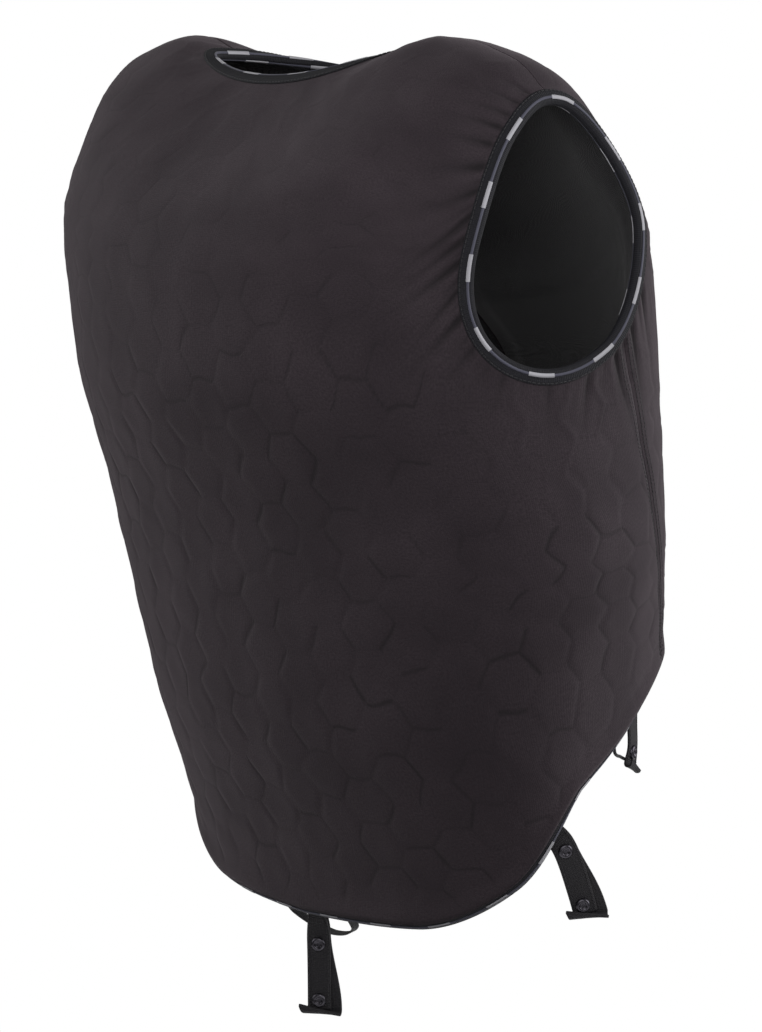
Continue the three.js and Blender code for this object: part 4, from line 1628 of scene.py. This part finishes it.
@dataclass
class HangingStrap:
    """Webbing strap sewn behind the hem's binding, with a second layer behind it and press studs.

    Attributes:
        name: The strap's name without its side.
        turn: Place on the hem.
        length: Length below the binding.
        limp: How readily it hangs plumb.
        twist: Turn of the strap in degrees.
        drawn: How far its end is drawn back, in degrees.
        kept: True if it has a second layer with a cuff behind it.
        mark: Ending of the pieces' names.
        hang: Rows of run and share of the plumb direction that the strap has taken there.
    """

    name: str
    form: TorsoForm
    turn: float
    length: float
    limp: float
    twist: float
    drawn: float
    kept: bool
    side: Side
    mark: str
    finishes: Finishes
    rows: RowMaker
    width: float = 16
    thickness: float = 1.6
    gap: float = 0.35
    start: float = 1
    hang: tuple[tuple[float, float], ...] = ((0, 0), (8, 0.15), (18, 0.5), (30, 0.64), (60, 0.72))
    twist_from: float = 4
    twist_to: float = 28
    drawn_length: float = 20
    cup: float = 0.35
    row_share: float = 0.82
    keeper_cup: float = -0.2
    keeper_flare: float = 7
    flare_from: float = 0.3
    cuff_drop: float = 0.5
    cuff_radius: float = 2.2
    cuff_bend: float = 165
    cuff_flat: float = 1.5
    cuff_flare: float = 6
    cuff_tilt: float = 12
    cuff_slope: float = 0
    slope_from: float = 0.55

    @property
    def total(self) -> float:
        """Length of the strap from its seam behind the binding."""
        return self.form.binding_width + self.length

    def stations(self) -> list[Station]:
        """Frames down the strap, on the wearer's right."""
        hem = HemFrame(self.form, self.turn)
        plumb_at = curve_through(*np.array(self.hang, float).T)
        count = int(self.total)
        step = self.total / count
        at, made = hem.behind(self.thickness, self.start), []
        for i in range(count + 1):
            run = step * i
            share = float(plumb_at(run)) * self.limp
            drawn = float(smoothstep(run, self.total - self.drawn_length, self.total))
            down = unit(hem.off * (1 - share) + np.array([0, 0, -1.0]) * share)
            down = turned(down, hem.outward, -math.radians(self.drawn) * drawn)
            at = at + down * step if i else at
            angle = math.radians(self.twist) * float(smoothstep(run, self.twist_from, self.twist_to))
            across = unit(hem.along - down * np.dot(hem.along, down))
            across = turned(across, down, angle)
            face = unit(np.cross(across, down))
            made.append(Station(at, run, down, across, face if np.dot(face, hem.outward) > 0 else -face))
        return made

    def keeper_stations(self) -> list[Station]:
        """Frames down the second layer, which widens and turns up in a cuff before the strap's end."""
        half = self.width / 2
        made = []
        for s in self.stations():
            flare = self.keeper_flare * float(smoothstep(s.run, self.total * self.flare_from, self.total))
            slope = self.cuff_slope * float(smoothstep(s.run, self.total * self.slope_from, self.total))
            made.append(replace(
                s, at=s.at - s.face * (self.thickness + self.gap), across=unit(s.across + s.down * slope),
                before=half, beyond=half + flare))
        return made + self.cuff(made[-1], half + self.cuff_flare, half + self.keeper_flare)

    def cuff(self, last: Station, before: float, beyond: float) -> list[Station]:
        """Frames of an end that turns up in front of the strap.

        Args:
            last: The last frame before the turn.
            before: Half width that the near side grows to.
            beyond: Half width of the far side.

        Returns:
            The frames, from the turn to the free end.
        """
        made, half = [], self.width / 2
        down = unit(last.down - last.across * np.dot(last.down, last.across))
        hub = last.at + down * self.cuff_drop + last.face * self.cuff_radius
        for share in np.linspace(0, 1, 19):
            bend = math.radians(self.cuff_bend) * share
            facing = last.face * math.cos(bend) - down * math.sin(bend)
            across = turned(last.across, facing, math.radians(self.cuff_tilt) * share)
            made.append(replace(
                last, at=hub - facing * self.cuff_radius, across=across, face=facing,
                before=half + (before - half) * share, beyond=beyond))
        end = made[-1]
        ahead = unit(np.cross(end.across, end.face))
        ahead = ahead if np.dot(ahead, last.down) < 0 else -ahead
        return made + [replace(end, at=end.at + ahead * self.cuff_flat * share) for share in (0.5, 1.0)]

    def on_side(self, points: Array) -> Array:
        """Points of the wearer's right brought to the strap's own side."""
        return points * np.array([self.side.value, 1, 1])

    def build(self) -> None:
        """Makes the strap, its second layer and its stitches."""
        strap, half = self.stations(), self.width / 2
        if self.kept:
            self.build_band(f"{self.name}_strap", strap, self.cup)
            self.build_band(f"{self.name}_keeper", self.keeper_stations(), self.keeper_cup)
        else:
            self.build_band(f"{self.name}_strap", strap + self.cuff(strap[-1], half + 1, half), self.cup)
        stitches = PathRows()
        top, end = self.form.binding_width + 3, self.total - 1.5
        edges = [s for s in strap if top <= s.run <= end]
        for share in (self.row_share, -self.row_share):
            lift = self.thickness / 2 + self.cup * (1 - share ** 2) + 0.04
            points = np.array([s.at + s.across * share * half + s.face * lift for s in edges])
            stitches.add(self.on_side(points), self.on_side(np.array([s.face for s in edges])))
        shares = np.linspace(-0.8, 0.8, 17)[:, None]
        for run in (top + 1, top + 4, end - 1):
            place = min(strap, key=lambda s: abs(s.run - run))
            points = place.at + shares * half * place.across + place.face * (self.thickness / 2 + 0.3)
            stitches.add(self.on_side(points), self.on_side(np.tile(place.face, (len(shares), 1))))
        name, grain = f"{self.name}_strap_stitches{self.mark}", Grain(2.6, 2.2, 0.6, 0.5)
        keep(self.rows.grains(stitches, name, grain, self.finishes.thread), "webbing")

    def build_band(self, name: str, stations: Sequence[Station], cup: float) -> None:
        """Makes one layer of webbing, with its middle standing out over its edges by the cup."""
        draft = MeshDraft()
        draft.add_sweep(self.on_side(ribbon(stations, self.width, self.thickness, cup)))
        piece = draft.to_object(f"{name}_webbing{self.mark}", [self.finishes.webbing], sharp=60)
        keep(piece, "webbing", f"{name}{self.mark}")

    def build_stud(self, node: str, run: float) -> None:
        """Makes a press stud on the strap at a run from its seam."""
        place = min(self.stations(), key=lambda s: abs(s.run - run))
        PressStud(node, self.on_side(place.face), self.finishes).build()


@dataclass
class ElasticLoops:
    """Flat elastic loop behind the tail strap and round elastic cords at the front straps."""

    form: TorsoForm
    finishes: Finishes
    flat_width: float = 6
    flat_thickness: float = 1.2
    cord: float = 2.2
    gap: float = 0.35
    seat: float = 0.9
    start: float = 2
    tail_turns: tuple[float, float] = (-12, 9)
    tail_sag: float = 23
    tail_behind: float = 14
    tail_leg: float = 0.62
    front_turn: float = 104
    front_clear: float = 3

    def band(self, points: Sequence[Array], leads: Sequence[Array], count: int) -> list[Station]:
        """Frames along a route, its width square to a lead direction that turns from end to end.

        Args:
            points: Points of the route.
            leads: Lead directions at its start and end.
            count: How many steps to make.

        Returns:
            The frames.
        """
        route = smooth_route(points, count)
        ahead = unit(np.gradient(route, axis=0))
        made = []
        for i, (at, tangent) in enumerate(zip(route, ahead)):
            lead = leads[0] + (leads[1] - leads[0]) * i / count
            across = unit(lead - tangent * np.dot(lead, tangent))
            made.append(Station(at, 0.0, tangent, across, np.cross(across, tangent)))
        return made

    def build_tail(self) -> None:
        """Makes the loop behind the tail strap."""
        right, left = (HemFrame(self.form, turn) for turn in self.tail_turns)
        middle = HemFrame(self.form, sum(self.tail_turns) / 2)
        low = self.form.binding_width + self.tail_sag
        wide = self.flat_width
        points = [
            right.behind(wide, self.start, self.gap - self.seat),
            right.behind(wide, low * self.tail_leg, self.tail_behind / 2),
            middle.behind(wide, low, self.tail_behind),
            left.behind(wide, low * self.tail_leg, self.tail_behind / 2),
            left.behind(wide, self.start, self.gap - self.seat),
        ]
        stations = self.band(points, (right.outward, left.outward), 72)
        draft = MeshDraft()
        draft.add_sweep(ribbon(stations, self.flat_width, self.flat_thickness))
        piece = draft.to_object("tail_loop_elastic", [self.finishes.elastic], sharp=60)
        keep(piece, "elastic", "tail_loop")

    def build_front(self, strap: HangingStrap) -> None:
        """Makes the cord from the hem round the near edge of a front strap's end."""
        hem = HemFrame(self.form, self.front_turn)
        end = strap.stations()[-4]
        begin = hem.behind(self.cord, self.start + 1, self.gap)
        near = end.across * np.sign(np.dot(end.across, begin - end.at))
        fast = strap.thickness / 2 + self.gap + self.cord / 2
        half = strap.width / 2

        def beside(side: float, behind: float) -> Array:
            """A place near the strap's end, so far to its near side and so far behind it."""
            return end.at + near * side - end.face * behind
        round_edge = beside(half + self.front_clear, self.front_clear)
        dip = begin + (round_edge - begin) * np.array([0.28, 0.28, 0.82])
        points = [begin, dip, round_edge, beside(half / 2, fast + self.front_clear / 3), beside(0, fast)]
        stations = self.band(points, (hem.outward, hem.outward), 60)
        around = np.linspace(0, 2 * math.pi, 12, endpoint=False)
        ring = np.stack([
            s.at + self.cord / 2 * (np.cos(around)[:, None] * s.across + np.sin(around)[:, None] * s.face)
            for s in stations])
        draft = MeshDraft()
        draft.add_sweep(strap.on_side(ring))
        piece = draft.to_object(f"front_loop_cord{strap.mark}", [self.finishes.elastic])
        keep(piece, "elastic", f"front_loop{strap.mark}")


# Front zip


@dataclass
class FrontZip:
    """Coil zip down the centre front: two tapes, two rows of teeth, a slider and its puller.

    Attributes:
        slider_blocks: Rows of middle, size and bevel, across, down and out from the zip's middle.
    """

    form: TorsoForm
    finishes: Finishes
    rows: RowMaker
    half_width: float = 5.9
    depth: float = 2.5
    tape_thickness: float = 1.1
    tooth_pitch: float = 2.6
    slider_from_top: float = 14
    slider_blocks: tuple[tuple[tuple[float, ...], tuple[float, ...], float], ...] = (
        ((0, 0, 2.1), (7.6, 9.0, 1.1), 0.5),
        ((0, 0, -1.3), (7.6, 9.0, 0.9), 0.4),
        ((0, -2.9, 0.4), (2.2, 2.4, 3.2), 0.4),
        ((0, -1.2, 3.4), (1.8, 5.6, 1.2), 0.5),
        ((0, 3.6, 3.9), (4.4, 4.0, 1.0), 0.4),
        ((0, 14.5, 3.7), (5.6, 19.0, 1.4), 0.6),
    )

    def line(self) -> tuple[Array, Array, Array]:
        """Points down the zip's middle, with outward and downward directions."""
        form = self.form
        level = np.linspace(1, form.hem_level(180.0), 200)
        outer = form.point(180.0, level) * np.array([0, 1, 1])
        outward = unit(form.normal(180.0, level) * np.array([0, 1, 1]))
        ahead = unit(np.gradient(outer, axis=0))
        more = form.binding_width - 0.5
        points = np.concatenate([outer[:1] - ahead[:1] * more, outer, outer[-1:] + ahead[-1:] * more])
        outward = np.concatenate([outward[:1], outward, outward[-1:]])
        points = points - outward * self.depth
        return points, outward, unit(np.gradient(points, axis=0))

    def build(self) -> None:
        """Makes the tapes, teeth and slider."""
        points, outward, down = self.line()
        across = np.array([1.0, 0, 0])
        draft, teeth = MeshDraft(), PathRows()
        stations = [Station(p, 0.0, d, across, o) for p, d, o in zip(points, down, outward)]
        # The second row of teeth starts two points lower than the first.
        for sign, first in ((1, 0), (-1, 2)):
            shifted = [replace(s, at=s.at + across * sign * self.half_width / 2) for s in stations]
            draft.add_sweep(ribbon(shifted, self.half_width - 0.1, self.tape_thickness))
            row = points + across * sign * 0.95 + outward * (self.tape_thickness / 2 + 0.45)
            teeth.add(row[first:], outward[first:])
        keep(draft.to_object("zip_tapes", [self.finishes.zip_tape], sharp=60), "zip", "front_zip")
        tooth = Grain(self.tooth_pitch, 1.5, 2.9, 1.7)
        keep(self.rows.grains(teeth, "zip_teeth", tooth, self.finishes.coil), "zip")
        self.build_slider(points, outward, down)

    def build_slider(self, points: Array, outward: Array, down: Array) -> None:
        """Makes the slider body with its bridge and hanging puller.

        Args:
            points: Points down the zip's middle.
            outward: Outward directions at them.
            down: Downward directions at them.
        """
        i = int(np.searchsorted(run_lengths(points), self.slider_from_top))
        basis = np.stack([np.array([1.0, 0, 0]), down[i], outward[i]])
        shape = bmesh.new()
        for centre, size, bevel in self.slider_blocks:
            made = bmesh.ops.create_cube(shape, size=1.0)
            bmesh.ops.scale(shape, vec=Vector(size), verts=made["verts"])
            bmesh.ops.translate(shape, vec=Vector(centre), verts=made["verts"])
            edges = list({e for v in made["verts"] for e in v.link_edges})
            bmesh.ops.bevel(shape, geom=edges, offset=bevel, segments=3, affect="EDGES", profile=0.5)
        place = Matrix.Translation(Vector(points[i] * MM)) @ Matrix(basis.T.tolist()).to_4x4()
        bmesh.ops.transform(shape, matrix=place @ Matrix.Scale(MM, 4), verts=shape.verts[:])
        mesh = bpy.data.meshes.new("zip_slider")
        mesh.materials.append(self.finishes.slider)
        keep(smooth_object("zip_slider", mesh, shape, 40), "zip")


# The whole vest


@dataclass
class Vest:
    """The riding vest, built piece by piece."""

    form: TorsoForm = field(default_factory=TorsoForm)
    padding: float = 0.75

    def __post_init__(self) -> None:
        """Makes what the pieces share."""
        self.flat = FlatCloth(self.form)
        self.finishes = Finishes()
        self.rows = RowMaker()

    def build(self) -> None:
        """Makes every piece."""
        self.build_panels()
        self.build_bindings()
        FrontZip(self.form, self.finishes, self.rows).build()
        self.build_straps()

    def build_panels(self) -> None:
        """Makes the padded panels and the stitches along their side seams."""
        backs, fronts = (
            [ClothGrid(self.form, self.flat, panel, side) for side in Side]
            for panel in (Panel.BACK, Panel.FRONT))
        panels = {"back_panel": backs}
        panels |= {f"front_panel_{grid.side.name.lower()}": [grid] for grid in fronts}
        for node, grids in panels.items():
            piece = PaddedPanel(f"{node}_cloth", grids, self.finishes).build()
            keep(piece, "cloth", node)
        for name, grids, side_line in (("back", backs, -1), ("front", fronts, 0)):
            seams = PathRows()
            for grid in grids:
                for distance in (3.2, 6.0):
                    path, facing = grid.seam_path(side_line, distance)
                    seams.add(path + facing * 0.05, facing)
            made = self.rows.grains(seams, f"{name}_seam_stitches", Grain(), self.finishes.thread)
            keep(made, "cloth")

    def build_bindings(self) -> None:
        """Makes the bound neck, armholes and hem."""
        form = self.form
        shared = {"form": form, "finishes": self.finishes, "rows": self.rows}
        turn, level = form.armhole(np.arange(0, 360, 1.5))
        beyond = 1.2
        outside = form.point(form.armhole_turn + (turn - form.armhole_turn) * beyond,
                             form.armhole_level + (level - form.armhole_level) * beyond)
        for side in Side:
            BoundEdge(f"armhole_binding_{side.name.lower()}", turn=side.value * turn, level=level,
                      inside=outside * np.array([side.value, 1, 1]), ring=True,
                      dash_start=19, dash_at=4.4, dash_out=3.42, dash_tilt=0.25, **shared).build()
        end = form.zip_turn(1.0)
        turn = np.linspace(-end, end, 241)
        BoundEdge("neck_binding", turn=turn, level=np.ones_like(turn), inside=form.point(turn, 0.95),
                  ring=False, **shared).build()
        end = form.zip_turn(form.hem_level(180.0))
        turn = np.linspace(-end, end, 421)
        level = form.hem_level(turn)
        BoundEdge("hem_binding", turn=turn, level=level, inside=form.point(turn, level + 0.05), ring=False,
                  dash_start=30, dash_at=5.6, dash_out=2.95, dash_tilt=0.5, **shared).build()

    def build_straps(self) -> None:
        """Makes the straps, studs and elastic loops on the hem."""
        shared = {"form": self.form, "finishes": self.finishes, "rows": self.rows}
        edge, from_end = self.form.binding_width, 6.5
        tail = HangingStrap("tail", turn=0.5, length=66, limp=1.35, twist=-38, drawn=0, kept=True,
                            side=Side.RIGHT, mark="", **shared)
        tail.build()
        tail.build_stud("tail_stud_upper", edge + 21)
        tail.build_stud("tail_stud_lower", tail.total - from_end)
        loops = ElasticLoops(self.form, self.finishes)
        loops.build_tail()
        for side in Side:
            mark = f"_{side.name.lower()}"
            hip = HangingStrap("hip", turn=79, length=58, limp=1, twist=0, drawn=0, kept=True,
                               side=side, mark=mark, cuff_slope=0.22, **shared)
            hip.build()
            hip.build_stud(f"hip_stud_upper{mark}", edge + 12)
            hip.build_stud(f"hip_stud_lower{mark}", hip.total - from_end)
            front = HangingStrap("front", turn=110.5, length=41, limp=1.2, twist=-10, drawn=30, kept=False,
                                 side=side, mark=mark, **shared)
            front.build()
            front.build_stud(f"front_stud{mark}", front.total - 9)
            loops.build_front(front)


# Studio


@dataclass(frozen=True)
class SoftLight:
    """A square soft light: its place from the target, size in millimetres and power in watts."""

    name: str
    to_camera: float
    to_right: float
    up: float
    size: float
    power: float


@dataclass
class Studio:
    """Pale floor, soft lights and the camera at the picture's view.

    Attributes:
        turn: Degrees from the centre back to the camera, towards the wearer's right.
        rise: Degrees of the camera over the horizon.
        focal: Focal length in pixels of the picture.
        middle: Pixel of the picture at which the target shows.
    """

    turn: float = 50.2
    rise: float = 6.9
    distance: float = 2600
    target: tuple[float, float, float] = (0, 0, -300)
    focal: float = 3900
    picture: tuple[int, int] = (762, 1032)
    middle: tuple[float, float] = (356.4, 489.6)
    sensor: float = 36
    floor_z: float = -1250
    floor_radius: float = 1900
    floor_glow: float = 0.4
    clouds: float = 3
    sky: float = 0.24
    zenith: float = 0.03
    ground: float = 0.0
    white: str = "#ffffff"
    floor: str = "#f4f4f4"
    lights: tuple[SoftLight, ...] = (
        SoftLight("light_front", 1050, 50, 430, 900, 7.3),
        SoftLight("light_right", -50, 1900, 600, 1400, 33),
        SoftLight("light_left", -600, -1900, 700, 1400, 21),
    )

    def toward_camera(self) -> Vector:
        """Unit direction from the target to the camera."""
        turn, rise = math.radians(self.turn), math.radians(self.rise)
        return Vector((-math.sin(turn) * math.cos(rise), math.cos(turn) * math.cos(rise), math.sin(rise)))

    def build(self) -> None:
        """Makes the camera, floor and lights."""
        scene = bpy.context.scene
        scene.view_settings.view_transform = "Standard"
        self.build_camera(scene)
        self.build_floor()
        self.build_world(scene)
        up = Vector((0, 0, 1))
        right = up.cross(self.toward_camera()).normalized()
        ahead = right.cross(up)
        for light in self.lights:
            self.build_light(light, ahead * light.to_camera + right * light.to_right + up * light.up)

    def build_camera(self, scene: Scene) -> None:
        """Makes the camera with the picture's framing."""
        data = bpy.data.cameras.new("camera")
        long_side = max(self.picture)
        data.sensor_width = self.sensor
        data.lens = self.focal / long_side * self.sensor
        data.shift_x = (self.picture[0] / 2 - self.middle[0]) / long_side
        data.shift_y = (self.middle[1] - self.picture[1] / 2) / long_side
        data.clip_end = 100
        camera = link("camera", data)
        back = self.toward_camera()
        camera.location = (Vector(self.target) + back * self.distance) * MM
        camera.rotation_mode = "QUATERNION"
        camera.rotation_quaternion = (-back).to_track_quat("-Z", "Y")
        scene.camera = camera

    def build_floor(self) -> None:
        """Makes the plain pale floor."""
        draft = MeshDraft()
        around = np.linspace(0, 2 * math.pi, 128, endpoint=False)
        rim = np.stack([np.cos(around), np.sin(around), 0 * around], -1) * self.floor_radius
        draft.add_face(draft.add_points(rim + np.array([0, 0, self.floor_z])))
        material, tree, shader = new_material("matt_paper_floor")
        place = add_node(tree, "ShaderNodeTexCoord").outputs["Object"]
        grain = add_node(tree, "ShaderNodeTexNoise", {
            "Vector": place, "Scale": self.clouds, "Detail": 3.0})
        colour = add_node(tree, "ShaderNodeMix", {
            "Factor": grain.outputs[0], "A": linear(self.floor), "B": linear(self.white)}, data_type="RGBA")
        wire(tree, shader, {
            "Base Color": colour.outputs[2], "Emission Color": colour.outputs[2],
            "Emission Strength": self.floor_glow, "Roughness": 0.9})
        floor = draft.to_object("studio_floor", [material])
        floor.visible_diffuse = False

    def build_world(self, scene: Scene) -> None:
        """Makes surroundings white to look at, which light from all around more than from above or below."""
        world = bpy.data.worlds.new("studio_white")
        world.use_nodes = True
        tree = world.node_tree
        shade = tree.nodes["Background"]
        shade.inputs["Color"].default_value = linear(self.white)
        seen = add_node(tree, "ShaderNodeLightPath").outputs["Is Camera Ray"]
        way = add_node(tree, "ShaderNodeTexCoord").outputs["Generated"]
        rise = add_node(tree, "ShaderNodeSeparateXYZ", {0: way}).outputs["Z"]
        light = add_node(tree, "ShaderNodeMapRange", {0: rise, 1: 0.0, 2: 0.25, 3: self.ground, 4: self.sky})
        share = add_node(tree, "ShaderNodeMapRange", {
            0: rise, 1: 0.3, 2: 0.9, 3: 1.0, 4: self.zenith / self.sky})
        light = add_node(tree, "ShaderNodeMath", {
            0: light.outputs[0], 1: share.outputs[0]}, operation="MULTIPLY")
        strength = add_node(tree, "ShaderNodeMath", {0: light.outputs[0], 1: seen}, operation="MAXIMUM")
        wire(tree, shade, {"Strength": strength.outputs[0]})
        scene.world = world

    def build_light(self, light: SoftLight, offset: Vector) -> None:
        """Makes a light that faces the target from an offset."""
        data = bpy.data.lights.new(light.name, "AREA")
        data.shape = "SQUARE"
        data.size = light.size * MM
        data.energy = light.power
        made = link(light.name, data)
        made.location = (Vector(self.target) + offset) * MM
        made.rotation_mode = "QUATERNION"
        made.rotation_quaternion = (-offset).to_track_quat("-Z", "Y")


def write_sizes() -> None:
    """Brings the view layer up to date."""
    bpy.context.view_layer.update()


def main() -> None:
    """Builds the studio and the vest."""
    logging.basicConfig(level=logging.INFO, format="%(name)s %(message)s")
    Studio().build()
    Vest().build()
    write_sizes()


if __name__ == "__main__":
    main()
